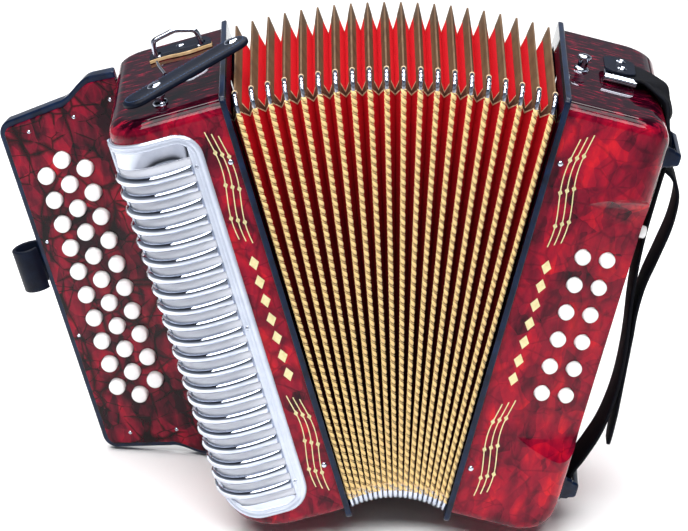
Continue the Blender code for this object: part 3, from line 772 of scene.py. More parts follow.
def casing_solid(width, corners, side, inset=0.0):
    """A block whose outer corners are round in plan and in the front view, with soft front and back edges."""
    solid = bmesh.new()
    rings = []
    for level in casing_levels(corners):
        outer = width - rounded(corners["low"], level) - rounded(corners["high"], HEIGHT - level)
        pulled = rounded(corners["edge"], min(level, HEIGHT - level))
        front, back = pulled + inset, DEPTH - pulled - inset
        near, far = corners["front"], corners["back"]
        ring = [(0.0, front)]
        ring += arc((outer - near, front + near), near, -90, 0, 14)
        ring += arc((outer - far, back - far), far, 0, 90, 8)
        ring += [(0.0, back)]
        rings.append([(side * x, y, level) for x, y in ring])
    add_rings(solid, rings)
    return solid


def panel_sweep():
    low, high = PANEL_RISE
    sweep_radius = PANEL_SWEEP
    front = -2 * sweep_radius
    lower = arc((-sweep_radius, low), sweep_radius, 0, -80, 20)
    upper = arc((-sweep_radius, high), sweep_radius, 80, 0, 20)
    return [(front, low - sweep_radius)] + lower[::-1] + upper[::-1] + [(front, high + sweep_radius)]


def bass_button_places():
    return [
        (f"bass_button_{column}_{i + 1}", out, BASS_FIRST - i * BASS_PITCH)
        for column, out in BASS_COLUMNS
        for i in range(BASS_PER_COLUMN)
    ]


def treble_button_places():
    return [
        (f"treble_button_{row}_{i + 1:02d}", out, first - i * BUTTON_PITCH)
        for row, out, count, first in TREBLE_ROWS
        for i in range(count)
    ]


def moved(solid, matrix):
    """Carries a solid, in millimetres, from one frame into another."""
    solid.transform(Matrix.Translation(matrix.translation / MM) @ matrix.to_3x3().to_4x4())
    return solid


def button_holes(places, sizes, depth, way=1):
    """Round cutters for the buttons at (name, out, up) places. The way is which side of the frame is out."""
    holes = bmesh.new()
    for _, out, up in places:
        radius = sizes[0] + BUTTON_CLEARANCE
        lathe([(radius, -3.0), (radius, depth)], 32, holes, "y", (way * out, up))
    return holes


def build_casings():
    add_piece(
        "treble_shell", casing_solid(TREBLE_WIDTH, TREBLE_CORNERS, -1), TREBLE, "celluloid",
        "treble_side", ("treble_casing",), smooth=30,
    )
    into_bass = BASS.inverted() @ PANEL
    scoop = moved(prism(panel_sweep(), "x", -2 * PANEL_SWEEP, 2 * BASS_WIDTH), into_bass)
    holes = moved(button_holes(bass_button_places(), BASS_BUTTON, 8.0), into_bass)
    air = AIR_BUTTON["sizes"][0] + BUTTON_CLEARANCE
    air_hole = lathe(
        [(air, BASS_WIDTH - 8.0), (air, BASS_WIDTH + 3.0)], 24, None, "x",
        (AIR_BUTTON["back"], AIR_BUTTON["up"]),
    )
    add_piece(
        "bass_shell", casing_solid(BASS_WIDTH, BASS_CORNERS, 1), BASS, "bass_celluloid",
        "bass_side", ("bass_casing",), smooth=30, cuts=(scoop, holes, air_hole),
    )


# ---------------------------------------------------------------- grille

def grille_point(along, up, out):
    """A point on the grille: along runs from its inner edge round the corner to the side of the casing."""
    radius = TREBLE_CORNERS["front"]
    flat = TREBLE_WIDTH - radius - GRILLE_START
    bend = radius * math.pi / 2
    if along <= flat:
        return Vector((-(GRILLE_START + along), -out, up))
    if along <= flat + bend:
        angle = (along - flat) / radius
        reach = radius + out
        return Vector(
            (-(TREBLE_WIDTH - radius + reach * math.sin(angle)), radius - reach * math.cos(angle), up)
        )
    return Vector((-(TREBLE_WIDTH + out), radius + along - flat - bend, up))


GRILLE_LENGTH = TREBLE_WIDTH - TREBLE_CORNERS["front"] * (1 - math.pi / 2) - GRILLE_START + GRILLE_SIDE


def grille_edge(along):
    """The grille's lowest and highest point at a distance along it."""
    low, high = GRILLE_RISE
    pulled = rounded(GRILLE_ROUND, along)
    outer = -grille_point(along, 0.0, 0.0).x
    foot = TREBLE_CORNERS["low"]
    return low + max(
        pulled, rounded(foot, TREBLE_WIDTH - outer) if outer > TREBLE_WIDTH - foot else 0.0
    ), high - pulled


def louvre_rise(index):
    """The lowest and highest point of a louvre, which lies between two slots."""
    low = LOUVRE_FIRST + index * LOUVRE_PITCH + LOUVRE_SLOT
    return low, low + LOUVRE_PITCH - LOUVRE_SLOT


def clamped(value):
    return min(max(value, 0.0), 1.0)


def louvre_level(index, along, share):
    """How high a point of a louvre is. The lowest and the highest louvre run on to the grille's edge."""
    low, high = louvre_rise(index)
    if index == -1:
        low = GRILLE_RISE[0]
    if index == LOUVRES - 1:
        high = GRILLE_RISE[1]
    bottom, top = grille_edge(along)
    turn = 0.5 - 0.5 * math.cos(math.pi * share)
    return min(max(low + (high - low) * turn, bottom), top)


def louvre_height(index, along, share):
    """How far a louvre stands out. The lowest one is flat, and the highest one is dished."""
    past_border = along - LOUVRE_START
    if index == -1:
        return GRILLE_PLATE
    if index == LOUVRES - 1:
        near = math.sin(math.pi * clamped(past_border / (GRILLE_LENGTH - LOUVRE_START)))
        return GRILLE_PLATE - TOP_DISH * math.sin(math.pi * share) ** 2 * min(1.0, 2.5 * near)
    fade = clamped(past_border / LOUVRE_FADE)
    end_fade = clamped((GRILLE_LENGTH - along) / 3.0) if past_border > 0.0 else 0.0
    height = LOUVRE_BULGE * (0.18 + 0.82 * fade * (2 - fade)) * end_fade
    return GRILLE_PLATE + height * math.sin(math.pi * share)


def border_level(along, share):
    bottom, top = grille_edge(along)
    return bottom + (top - bottom) * share


def border_height(_along, _share):
    return GRILLE_PLATE


def add_strip(solid, columns, rows, level_of, height_of):
    """A strip of sheet over some columns, where each point's share of the way up says where it is."""
    shares = [row / rows for row in range(rows + 1)]
    rings = [[grille_point(c, level_of(c, share), height_of(c, share)) for share in shares] for c in columns]
    add_rings(solid, rings, closed=False, caps=False)


def build_grille():
    """Pressed chrome sheet: a flat satin border with painted pale sheen, and half-round polished louvres
    between open slots.
    """
    border = np.linspace(0.0, LOUVRE_START, 7)
    columns = [LOUVRE_START, *np.linspace(LOUVRE_START + 3, GRILLE_LENGTH - 4.0, 24)]
    columns += [GRILLE_LENGTH - 2.0, GRILLE_LENGTH]
    solid = bmesh.new()
    for index in range(-1, LOUVRES):
        add_strip(solid, columns, LOUVRE_ROWS, partial(louvre_level, index), partial(louvre_height, index))
    polished = len(solid.faces)
    add_strip(solid, border, 40, border_level, border_height)
    solid.faces.ensure_lookup_table()
    for face in solid.faces[polished:]:
        face.material_index = 1
    piece = add_piece("grille_sheet", solid, TREBLE, ("chrome", "satin"), smooth=50)
    thicken(piece, GRILLE_SHEET)
    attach(piece, "treble_side")
    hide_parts("treble_grille")
    build_grille_rim()
    build_grille_cloth()


def thicken(piece, thickness):
    """Gives a sheet its thickness, half of it to each side."""
    modifier = piece.modifiers.new("solidify", "SOLIDIFY")
    modifier.thickness = thickness * MM
    modifier.offset = 0.0
    bake(piece)


def build_grille_rim():
    """The raised double bead round the grille's edge."""
    last = GRILLE_LENGTH - RIM_END
    count = 60
    alongs = [last * (1 - math.cos(math.pi * i / count)) / 2 for i in range(count + 1)]
    lower = [(a, grille_edge(a)[0]) for a in alongs]
    upper = [(a, grille_edge(a)[1]) for a in alongs]
    sides = 40
    left = [(last, lower[-1][1] + (upper[-1][1] - lower[-1][1]) * i / sides) for i in range(1, sides)]
    right = [(0.0, upper[0][1] + (lower[0][1] - upper[0][1]) * i / sides) for i in range(1, sides)]
    route = [Vector((a, b, 0.0)) for a, b in lower + left + upper[::-1] + right]
    profile = [(0.0, 0.25), (0.0, 1.4), (0.5, 2.3), (1.4, 3.0), (2.4, 2.9), (3.2, 2.2), (3.6, 1.9)]
    profile += [(4.2, 2.1), (5.0, 2.3), (5.8, 2.0), (6.3, 1.4), (6.3, 0.9)]
    solid = bmesh.new()
    rings = []
    for point, tangent in zip(route, tangents(route, closed=True)):
        inward = Vector((-tangent.y, tangent.x, 0.0))
        rings.append([grille_point(point.x + inward.x * a, point.y + inward.y * a, b) for a, b in profile])
    add_rings(solid, rings, looped=True)
    add_piece("grille_rim", solid, TREBLE, "satin", "treble_side", smooth=60)


def build_grille_cloth():
    """Fine woven cloth behind the slots."""
    solid = bmesh.new()
    store = solid.verts.layers.float_vector.new("place")
    columns = np.linspace(3.0, GRILLE_LENGTH - 2.0, 40)
    rings = []
    for along in columns:
        bottom, top = grille_edge(along)
        rings.append([(along, up, GRILLE_PLATE - 0.75) for up in np.linspace(bottom + 4.0, top - 4.0, 30)])
    for row, ring in zip(
        add_rings(solid, [[grille_point(*p) for p in ring] for ring in rings], False, False), rings
    ):
        for vertex, (along, up, _) in zip(row, ring):
            vertex[store] = (along, 0.0, up)
    piece = add_piece("grille_cloth", solid, TREBLE, "grille_cloth", smooth=60)
    thicken(piece, 0.4)
    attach(piece, "treble_side")


# ---------------------------------------------------------------- fingerboard

def shoulder(out):
    start, end, drop = BOARD_STEP
    share = min(max((out - start) / (end - start), 0.0), 1.0)
    curve = share * share * (3 - 2 * share)
    taper = max(out - end, 0.0) / (BOARD_REACH - end)
    return BOARD_INNER_HALF - drop * curve - taper * (BOARD_INNER_HALF - drop - BOARD_OUTER_HALF)


def board_outline(margin):
    reach = BOARD_REACH + margin
    corner = BOARD_CORNER + margin
    start, end, _ = BOARD_STEP
    outs = [-1.0, *np.linspace(start, end, 16), reach - corner]
    upper = [(-out, shoulder(out) + margin) for out in outs]
    half = shoulder(reach - corner) + margin
    upper += arc((corner - reach, half - corner), corner, 90, 180, 10)[1:]
    lower = [(x, -up) for x, up in reversed(upper)]
    return [(x, up + BOARD_MIDDLE) for x, up in upper + lower]


def casing_cutter():
    """The space that the treble casing takes up, which the fingerboard stops short of."""
    middle, beyond = 100.0, 20.0
    space = box((-TREBLE_WIDTH - CASING_GAP, 0.0), (middle, DEPTH + beyond), (-beyond, HEIGHT + beyond))
    return moved(space, BOARD.inverted() @ TREBLE)


def build_fingerboard():
    holes = button_holes(treble_button_places(), TREBLE_BUTTON, 4.0, -1)
    cover = prism(board_outline(-COVER_INSET), "y", 0.0, COVER_THICKNESS)
    add_piece(
        "board_cover", cover, BOARD, "board_celluloid", "treble_side",
        ("fingerboard_cover",), bevel=0.5, cuts=(holes, casing_cutter()),
    )
    top = COVER_THICKNESS + 0.05
    body = prism(board_outline(BODY_MARGIN), "y", top, top + BODY_THICKNESS)
    add_piece(
        "board_body", body, BOARD, "lacquer", "treble_side", ("fingerboard",), bevel=1.6,
        cuts=(casing_cutter(),),
    )


def button_solid(sizes):
    radius, above, below = sizes
    profile = [(0.02, -above), (radius * 0.45, -above + 0.03), (radius - 1.5, 0.12 - above)]
    profile += [
        (radius - 0.7, 0.42 - above), (radius - 0.2, 0.95 - above), (radius, 1.7 - above), (radius, below)
    ]
    return lathe(profile, 36)


def build_buttons():
    for places, matrix, sizes, way in (
        (treble_button_places(), BOARD, TREBLE_BUTTON, -1), (bass_button_places(), PANEL, BASS_BUTTON, 1)
    ):
        for name, out, up in places:
            add_piece(
                name.replace("button", "key"), button_solid(sizes), matrix @ place(way * out, 0.0, up),
                "white", name, (name,), smooth=50,
            )
    facing_out = place(BASS_WIDTH, AIR_BUTTON["back"], AIR_BUTTON["up"]) @ turned("Z", 90)
    add_piece(
        "air_key", button_solid(AIR_BUTTON["sizes"]), BASS @ facing_out, "white",
        "air_button", ("air_button",), smooth=50,
    )


# ---------------------------------------------------------------- bellows

def fan(share, back, up, across=0.0):
    """A point of the bellows: its closed place, turned by its share of the fan's angle."""
    closed = Vector((FRAME_THICKNESS + share * FOLDS * FOLD_PITCH + across, back, up))
    return Matrix.Rotation(share * FAN_TURN.angle, 3, FAN_TURN.axis) @ (closed - FAN_POLE) + FAN_POLE


def fold_outline(inset, steps=4, round_by=FOLD_ROUND):
    low, back, high = inset + 0.5, DEPTH - 0.5 - inset, HEIGHT - 1.0 - inset
    return rounded_rectangle((low, back), (low, high), round_by, steps)


def add_fanned(solid, rings, closed=True, caps=False, looped=False):
    """Rings of (share, back, up, across) points, with each point's share and closed place kept."""
    share_layer = solid.verts.layers.float.get("share") or solid.verts.layers.float.new("share")
    place_layer = solid.verts.layers.float_vector.get("place") or solid.verts.layers.float_vector.new("place")
    rows = add_rings(solid, [[fan(*point) for point in ring] for ring in rings], closed, caps, looped)
    for row, ring in zip(rows, rings):
        for vertex, (share, back, up, across) in zip(row, ring):
            vertex[share_layer] = share
            vertex[place_layer] = (share * FOLDS * FOLD_PITCH + across, back, up)
    return rows


def add_bellows_piece(name, solid, material, replaces=(), smooth=35.0):
    """A piece of the bellows in the treble frame; each point's share of the fan is read back from its mesh.
    """
    piece = add_piece(name, solid, TREBLE, material, smooth=smooth)
    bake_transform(piece)
    shares = np.zeros(len(piece.data.vertices), np.float32)
    piece.data.attributes["share"].data.foreach_get("value", shares)
    if replaces:
        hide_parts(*replaces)
    return piece


def ridge_share(fold):
    return (2 * fold + 1) / (2 * FOLDS)


def build_sleeve():
    """The folded card with its cloth, in red, and the soft gussets at its corners."""
    solid = bmesh.new()
    skins = []
    for inset in (0.0, FOLD_SKIN):
        rings = []
        for i in range(2 * FOLDS + 1):
            share = i / (2 * FOLDS)
            depth = inset + (0.6 if i % 2 else FOLD_DEPTH)
            corner = FOLD_ROUND if i % 2 else VALLEY_ROUND
            rings.append([(share, back, up, 0.0) for back, up in fold_outline(depth, round_by=corner)])
        skins.append(add_fanned(solid, rings))
    outer, inner = skins
    count = len(outer[0])
    for end in (0, -1):
        for i in range(count):
            following = (i + 1) % count
            solid.faces.new((outer[end][i], outer[end][following], inner[end][following], inner[end][i]))
    solid.faces.ensure_lookup_table()
    steps = count // 4
    for index, face in enumerate(solid.faces):
        column = index % count
        face.material_index = 0 if column % steps == steps - 1 else 1
    add_bellows_piece("bellows_cloth", solid, ("red_cloth", "gusset"), ("bellows",), smooth=20)


def wall_point(fold, side, reach, point, lift):
    """A point on the wall beside a ridge: reach runs from 0 at the ridge to 1 in the valley."""
    share = ridge_share(fold) + side * reach / (2 * FOLDS)
    return (share, point[0], point[1], side * lift)


def build_tapes():
    """Woven tape folded over every ridge."""
    solid = bmesh.new()
    for fold in range(FOLDS):
        rings = []
        outlines = {
            reach: fold_outline(0.6 + reach * (FOLD_DEPTH - 0.6) - 0.25, 6)
            for reach in (0.0, TAPE_SHOULDER, TAPE_REACH)
        }
        apex = fold_outline(-0.1, 6)
        for i in range(TAPE_START, len(apex) - 1):
            low, near = outlines[TAPE_REACH][i], outlines[TAPE_SHOULDER][i]
            rings.append(
                [
                    wall_point(fold, -1, TAPE_REACH, low, 0.0),
                    wall_point(fold, -1, TAPE_REACH, low, 0.35),
                    wall_point(fold, -1, TAPE_SHOULDER, near, 0.60),
                    wall_point(fold, -1, TAPE_FOLD, apex[i], 0.45),
                    wall_point(fold, 1, TAPE_FOLD, apex[i], 0.45),
                    wall_point(fold, 1, TAPE_SHOULDER, near, 0.60),
                    wall_point(fold, 1, TAPE_REACH, low, 0.35), wall_point(fold, 1, TAPE_REACH, low, 0.0),
                ]
            )
        add_fanned(solid, rings, caps=True)
    add_bellows_piece("bellows_tape", solid, "tape", smooth=40)


def build_cords():
    """Two strands twisted together down the front of every ridge."""
    solid = bmesh.new()
    low, high = 9.0, HEIGHT - 11.0
    count = int((high - low) / CORD_LAY * CORD_RINGS_PER_LAY)
    places = []
    for fold in range(FOLDS):
        share = ridge_share(fold)
        for strand in (0.0, math.pi):
            rings = []
            for i in range(count + 1):
                up = low + (high - low) * i / count
                radius = CORD_RADIUS[0] + (CORD_RADIUS[1] - CORD_RADIUS[0]) * up / HEIGHT
                turn = 2 * math.pi * (up / CORD_LAY + 0.37 * fold) + strand
                ring = []
                for a in (2 * math.pi * k / CORD_SIDES for k in range(CORD_SIDES)):
                    across = radius * (STRAND_OFFSET * math.cos(turn) + STRAND_RADIUS * math.cos(a))
                    out = radius * (STRAND_OFFSET * math.sin(turn) + STRAND_RADIUS * math.sin(a))
                    lift = up - (0.9 if strand else -0.9) * math.sin(a - turn)
                    ring.append((share, 0.2 - out, up if i in (0, count) else lift, across))
                    places.append((math.hypot(across, out) / radius, a, up))
                rings.append(ring)
            add_fanned(solid, rings, caps=True)
    kept = solid.verts.layers.float_vector["place"]
    for vertex, spot in zip(solid.verts, places):
        vertex[kept] = spot
    add_bellows_piece("bellows_cord", solid, "cord", smooth=80)


def corner_route(top, inset=0.4):
    """The way round a front corner of a ridge, as (back, up) points, with a straight stretch at each end."""
    outline = fold_outline(inset, 8)
    quarter = len(outline) // 4
    stretch = CAP_REACH - FOLD_ROUND * 0.6
    if top:
        points = outline[3 * quarter:]
        ends = ((stretch, 0.0), (0.0, -stretch))
    else:
        points = outline[:quarter]
        ends = ((0.0, stretch), (stretch, 0.0))
    first, last = Vector(points[0]), Vector(points[-1])
    return [first + Vector(ends[0]), *points, last + Vector(ends[1])]


def build_corner_caps():
    """Chrome caps that guard each ridge's two front corners, with a pale ring at each end."""
    caps, rings_solid = bmesh.new(), bmesh.new()
    for fold in range(FOLDS):
        share = ridge_share(fold)
        for top in (False, True):
            route = [Vector((0.0, a, b)) for a, b in corner_route(top)]
            add_cap(caps, share, route, CAP_RADIUS, 12)
            ways = tangents(route)
            for end in (0, -1):
                step = ways[end] * 0.5
                add_cap(
                    rings_solid, share, [route[end] - step, route[end], route[end] + step],
                    CAP_RADIUS + 0.25, 12,
                )
    add_bellows_piece("bellows_caps", caps, "chrome", smooth=60)
    add_bellows_piece("bellows_cap_rings", rings_solid, "piping", smooth=60)


def add_cap(solid, share, route, radius, sides):
    rings = []
    for point, tangent in zip(route, tangents(route)):
        out = Vector((0.0, -tangent.z, tangent.y))
        ring = []
        for k in range(sides):
            angle = 2 * math.pi * k / sides
            centre = point + out * (radius * math.sin(angle))
            ring.append((share, centre.y, centre.z, radius * math.cos(angle)))
        rings.append(ring)
    add_fanned(solid, rings, caps=True)


def build_piping():
    """Cream piping along both edges of the gussets, zigzagging from ridge to valley at each corner."""
    solid = bmesh.new()
    steps = 5
    for column in range(4 * steps):
        if column % steps not in (0, steps - 1):
            continue
        rings = []
        for i in range(2 * FOLDS + 1):
            depth = 0.4 if i % 2 else FOLD_DEPTH - 0.4
            back, up = fold_outline(depth, round_by=FOLD_ROUND if i % 2 else VALLEY_ROUND)[column]
            rings.append([
                (i / (2 * FOLDS), back + PIPING_RADIUS * math.cos(a), up + PIPING_RADIUS * math.sin(a), 0.0)
                for a in (2 * math.pi * k / 6 for k in range(6))
            ])
        add_fanned(solid, rings, caps=True)
    add_bellows_piece("bellows_piping", solid, "piping", smooth=60)


def build_bellows_frames():
    for name, side, matrix, body in (("treble", -1, TREBLE, "treble_side"), ("bass", 1, BASS, "bass_side")):
        low, high = -FRAME_PROUD, FRAME_PROUD
        outer = rounded_rectangle((low, DEPTH + high), (low, HEIGHT + high), 4.0, 6)
        inner = rounded_rectangle(
            (low + FRAME_BORDER, DEPTH + high - FRAME_BORDER),
            (low + FRAME_BORDER, HEIGHT + high - FRAME_BORDER), 3.0, 6,
        )
        near, far = sorted((-side * 0.1, -side * (FRAME_THICKNESS - 0.1)))
        rings = [[(near, a, b) for a, b in outer], [(far, a, b) for a, b in outer]]
        rings += [[(far, a, b) for a, b in inner], [(near, a, b) for a, b in inner]]
        solid = bmesh.new()
        add_rings(solid, rings, looped=True)
        add_piece(
            f"{name}_frame", solid, matrix, "lacquer", body, (f"{name}_bellows_frame",),
            bevel=1.1, smooth=50,
        )


def build_bellows():
    build_sleeve()
    build_tapes()
    build_cords()
    build_corner_caps()
    build_piping()
    build_bellows_frames()


# ---------------------------------------------------------------- straps and fittings

# The hand strap and its loose tail: stations (across, back, up) in the bass frame
HAND_STRAP_MAIN = (
    (37, 97, 313.2), (43, 94, 313.3), (53, 86, 313.2), (61, 76, 311.8), (69.4, 64, 305.0),
    (72.6, 57, 296), (76.4, 52.5, 282), (76.6, 52, 255), (77.6, 52, 215), (82, 52, 175), (88, 52, 140),
    (91, 52, 105), (89, 52, 75), (83, 52, 52), (78, 52, 38), (77, 52, 24),
)
HAND_STRAP_TAIL = (
    (77.2, 52, 270), (85, 52, 265), (91.5, 52, 253), (93, 52, 232), (90.5, 52, 208), (87.8, 52, 186),
    (88, 52, 166), (90, 52, 148), (92, 52, 128), (94, 52, 108), (96, 52, 88), (98, 52, 62),
)


def build_hand_strap():
    route = smooth_route(HAND_STRAP_MAIN, 5)
    add_piece(
        "hand_strap_main", sweep(route, (0, 1, 0), strap_section(36.0, 2.6)), BASS, "webbing",
        "bass_side", ("hand_strap",), smooth=50,
    )
    tail = smooth_route(HAND_STRAP_TAIL, 6)
    rounded_end = 9
    scales = [1.0] * len(tail)
    for i in range(1, rounded_end):
        scales[-i] = math.sqrt(max(1 - ((rounded_end - i) / rounded_end) ** 2, 0.06))
    add_piece(
        "hand_strap_end", sweep(tail, (0, 1, 0), strap_section(32.0, 2.4), scales=scales), BASS,
        "webbing", "bass_side", smooth=50,
    )


def build_brackets():
    """Stepped blocks with a slot for the hand strap."""
    for name, (low, high) in BRACKET_RISES:
        rings = []
        for across, pulled in BRACKET_STEPS:
            sides, rise = (28.0 + pulled * 0.3, 76.0 - pulled * 0.3), (low + pulled, high - pulled)
            rings.append([(across, a, b) for a, b in rounded_rectangle(sides, rise, 2.0, 4)])
        solid = bmesh.new()
        add_rings(solid, rings)
        slot_cut = box((72.0, 80.5), (31.5, 72.5), (low - 5, high + 5))
        add_piece(
            f"{name}_bracket", solid, BASS, "lacquer", "bass_side", bevel=0.5,
            cuts=(slot_cut,), segments=2,
        )


def build_thumb_strap():
    middle = 176.5
    points = [(78.0, 16.0), (86.0, 16.0), (96.0, 16.0)] + arc((107.0, 6.0), 10.0, 90, -150, 16)
    route = [Vector((-out, back, middle)) for out, back in points]
    add_piece(
        "thumb_loop", sweep(route, (0, 0, 1), strap_section(33.0, 2.8)), BOARD, "leather",
        "treble_side", ("thumb_strap",), smooth=50,
    )


def build_strap_ring():
    corners = [(-46.6, 0), (-46.4, 7), (-45.6, 11.8), (-43, 13.3), (-36, 14.8), (-29, 16), (-24, 15)]
    corners += [
        (-18, 13.4), (-15.2, 11.6), (-14.0, 7), (-13.5, 0), (-15, -0.2), (-24, 0), (-36, 0), (-45, -0.2),
    ]
    route = smooth_route([(across, 0, up) for across, up in corners], 5, closed=True)
    add_piece(
        "ring_wire", sweep(route, (0, 1, 0), round_section(RING_WIRE), closed=True),
        TREBLE @ place(0.0, *RING_BAR), "chrome", "strap_ring", ("strap_ring",), smooth=60,
    )
    build_ring_tab()
    foot = smooth_route(
        [(-46.5, 130.0, 311.2), (-45.0, 120.0, 311.3), (-41.5, 104.0, 311.3), (-39.4, 94.6, 311.2)], 5
    )
    add_piece(
        "ring_foot", sweep(foot, (1, 0, 0), round_section(1.2)), TREBLE, "chrome",
        "treble_side", smooth=60,
    )
    facing_up = turned("X", -90)
    tab_screw = place(-29.7, 150.3, TAB_RISE[1])
    add_screw("ring_tab_screw", TREBLE @ tab_screw @ facing_up, 3.0, 2, "treble_side", 25.0)
    add_screw("top_screw", TREBLE @ place(-25.6, 105.9, HEIGHT) @ facing_up, 2.2, 2, "treble_side", 10.0)


def build_ring_tab():
    """The leather tab wrapped round the ring's bar, with a wavy cut front edge that is left tan."""
    floor, roof = TAB_RISE
    outer, inner = TAB_ACROSS
    acrosses = [inner - (inner - outer) * i / TAB_STEPS for i in range(TAB_STEPS + 1)]
    middle, half = (outer + inner) / 2, 22.6
    back = [(a, 141.5 + 18.0 * math.sqrt(max(1.0 - ((a - middle) / half) ** 4, 0.0))) for a in acrosses]
    slots = tuple(
        prism(rounded_rectangle((x - 2.7, x + 2.7), (138.0, 147.5), 2.4, 5), "z", floor - 2.0, roof + 2.0)
        for x in RING_LEGS
    )
    front = [(a, 132.9 - 1.5 * math.sin(2 * math.pi * (a + 33.0) / 34.0)) for a in acrosses]
    seam = [(outer, TAB_SEAM), (inner, TAB_SEAM)]
    tab = prism([(a, 140.0) for a in acrosses] + back[::-1], "z", floor, roof)
    cut_edge = prism(front + seam, "z", floor, roof - 0.6)
    skin = prism([(a, b + 0.7) for a, b in front] + seam, "z", roof - 0.6, roof - 0.1)
    for name, solid, material, bevel, cuts in (
        ("ring_tab", tab, "leather", 0.35, slots), ("ring_tab_edge", cut_edge, "tan", 0.35, ()),
        ("ring_tab_skin", skin, "leather", 0.2, ()),
    ):
        add_piece(name, solid, TREBLE, material, "treble_side", bevel=bevel, cuts=cuts)
    section = [(TAB_SEAM, roof - 0.2), *arc(RING_BAR, 2.3, 20, 180, 8), (134.7, floor), (TAB_SEAM, floor)]
    wrap = bmesh.new()
    add_rings(wrap, [[(-43.6 + 27.2 * i / 12, a, b) for a, b in section] for i in range(13)])
    add_piece(
        "ring_tab_wrap", wrap, TREBLE, "leather", "treble_side", ("strap_ring_tab",), smooth=50
    )


def stud_profile(top):
    """Three stacked discs of a snap stud, as (radius, height) points."""
    discs = [(5.2, 309.0), (5.2, 311.3), (4.4, 312.0), (3.4, 312.4), (3.4, top - 3.2), (4.6, top - 2.8)]
    return discs + [(4.9, top - 1.6), (4.4, top - 0.6), (2.5, top), (0.02, top)]


def pulled_in(point, distance):
    """A point of the strap's outline, pulled in towards the strap's middle line."""
    low, high = STRAP_ALONG
    middle = Vector((min(max(point[0], low + STRAP_HALF), high - STRAP_HALF), 0.0))
    return middle + (Vector(point) - middle) * (1 - distance / STRAP_HALF)


def build_bellows_strap():
    matrix = TREBLE @ place(*STRAP_PLACE) @ turned("Z", STRAP_TURN) @ turned("Y", STRAP_TILT)
    low_end, high_end = (STRAP_ALONG[0] + STRAP_HALF, 0.0), (STRAP_ALONG[1] - STRAP_HALF, 0.0)
    outline = arc(high_end, STRAP_HALF, -90, 90, 14) + arc(low_end, STRAP_HALF, 90, 270, 14)
    solid = bmesh.new()
    add_rings(solid, [[(*pulled_in(p, pulled), level) for p in outline] for level, pulled in STRAP_LEVELS])
    add_piece(
        "padded_strap", solid, matrix, "leather", "bellows_strap", ("bellows_strap",),
        smooth=60,
    )
    snaps = bmesh.new()
    for centre in ((0.0, 0.0), high_end):
        lathe([(5.0, 4.2), (5.0, 5.0), (4.3, 5.7), (2.6, 6.2), (0.02, 6.3)], 28, snaps, "z", centre)
    add_piece("strap_snaps", snaps, matrix, "chrome", "bellows_strap", smooth=50)
    build_stitches(matrix, outline)
    for name, side_matrix, body, spot, top in (
        ("treble_stud", TREBLE, "treble_side", (-41.0, 33.0), 317.5),
        ("bass_stud", BASS, "bass_side", (10.0, 85.0), 321.0),
    ):
        stud = lathe(stud_profile(top), 28, None, "z", spot)
        add_piece(name, stud, side_matrix, "chrome", body, smooth=50)


def build_stitches(matrix, outline):
    """A line of short stitches inside the padded strap's edge."""
    solid = bmesh.new()
    path = [Vector((*pulled_in(p, STITCH_INSET), STITCH_LEVEL)) for p in outline + outline[:1]]
    for start, end in zip(path, path[1:]):
        way = end - start
        count = max(int(way.length / STITCH_PITCH), 1)
        for i in range(count):
            near = start + way * ((i + 0.15) / count)
            far = start + way * ((i + 0.85) / count)
            crest = (near + far) / 2 + Vector((0, 0, 0.18))
            sweep([near, crest, far], (0, 0, 1), round_section(0.3, 6), solid=solid)
    add_piece("strap_stitches", solid, matrix, "thread", "bellows_strap", smooth=60)


def build_bass_tab():
    """The leather tab with its eyelets, and the chrome buckle under its front edge."""
    tab = prism(rounded_rectangle((25.0, 47.0), (79.0, 114.5), 8.0, 8), "z", 314.7, 316.5)
    add_piece("bass_tab", tab, BASS, "leather", "bass_side", bevel=0.5)
    eyelets = bmesh.new()
    for across, back in ((37.0, 105.0), (37.0, 88.0)):
        profile = [(3.4, 316.3), (3.4, 317.0), (2.7, 317.5), (1.7, 317.2), (1.5, 316.3)]
        lathe(profile, 24, eyelets, "z", (across, back))
    add_piece("bass_eyelets", eyelets, BASS, "chrome", "bass_side", smooth=50)
    plate = prism(rounded_rectangle((25.0, 46.5), (67.0, 88.0), 2.5, 5), "z", 311.6, 314.6)
    slot_cut = prism(rounded_rectangle((28.5, 43.0), (72.5, 84.0), 1.5, 4), "z", 310.0, 316.0)
    add_piece("buckle_frame", plate, BASS, "chrome", "bass_side", bevel=1.1, cuts=(slot_cut,))
    roller = [Vector((24.4, 69.6, 313.6)), Vector((35.7, 69.6, 313.8)), Vector((47.1, 69.6, 313.6))]
    add_piece(
        "buckle_roller", sweep(roller, (0, 0, 1), round_section(2.9, 18)), BASS, "chrome",
        "bass_side", bevel=0.5, smooth=60,
    )


# ---------------------------------------------------------------- screws and ornaments

def screw_solid(radius, slots):
    """A domed screw head facing -y, and the cutters of its one slot or its cross."""
    profile = [(0.02, -1.0), (radius * 0.5, -0.92), (radius * 0.85, -0.55), (radius, -0.1), (radius, 0.6)]
    long, narrow, deep = (-radius * 0.8, radius * 0.8), (-0.28, 0.28), (-1.6, -0.45)
    cuts = [box(long, deep, narrow)]
    if slots == 2:
        cuts.append(box(narrow, deep, long))
    return lathe(profile, 20), tuple(cuts)


def add_screw(name, matrix, radius, slots, body, angle=0.0):
    solid, cuts = screw_solid(radius, slots)
    add_piece(name, solid, matrix @ turned("Y", angle), "chrome", body, cuts=cuts, smooth=40)


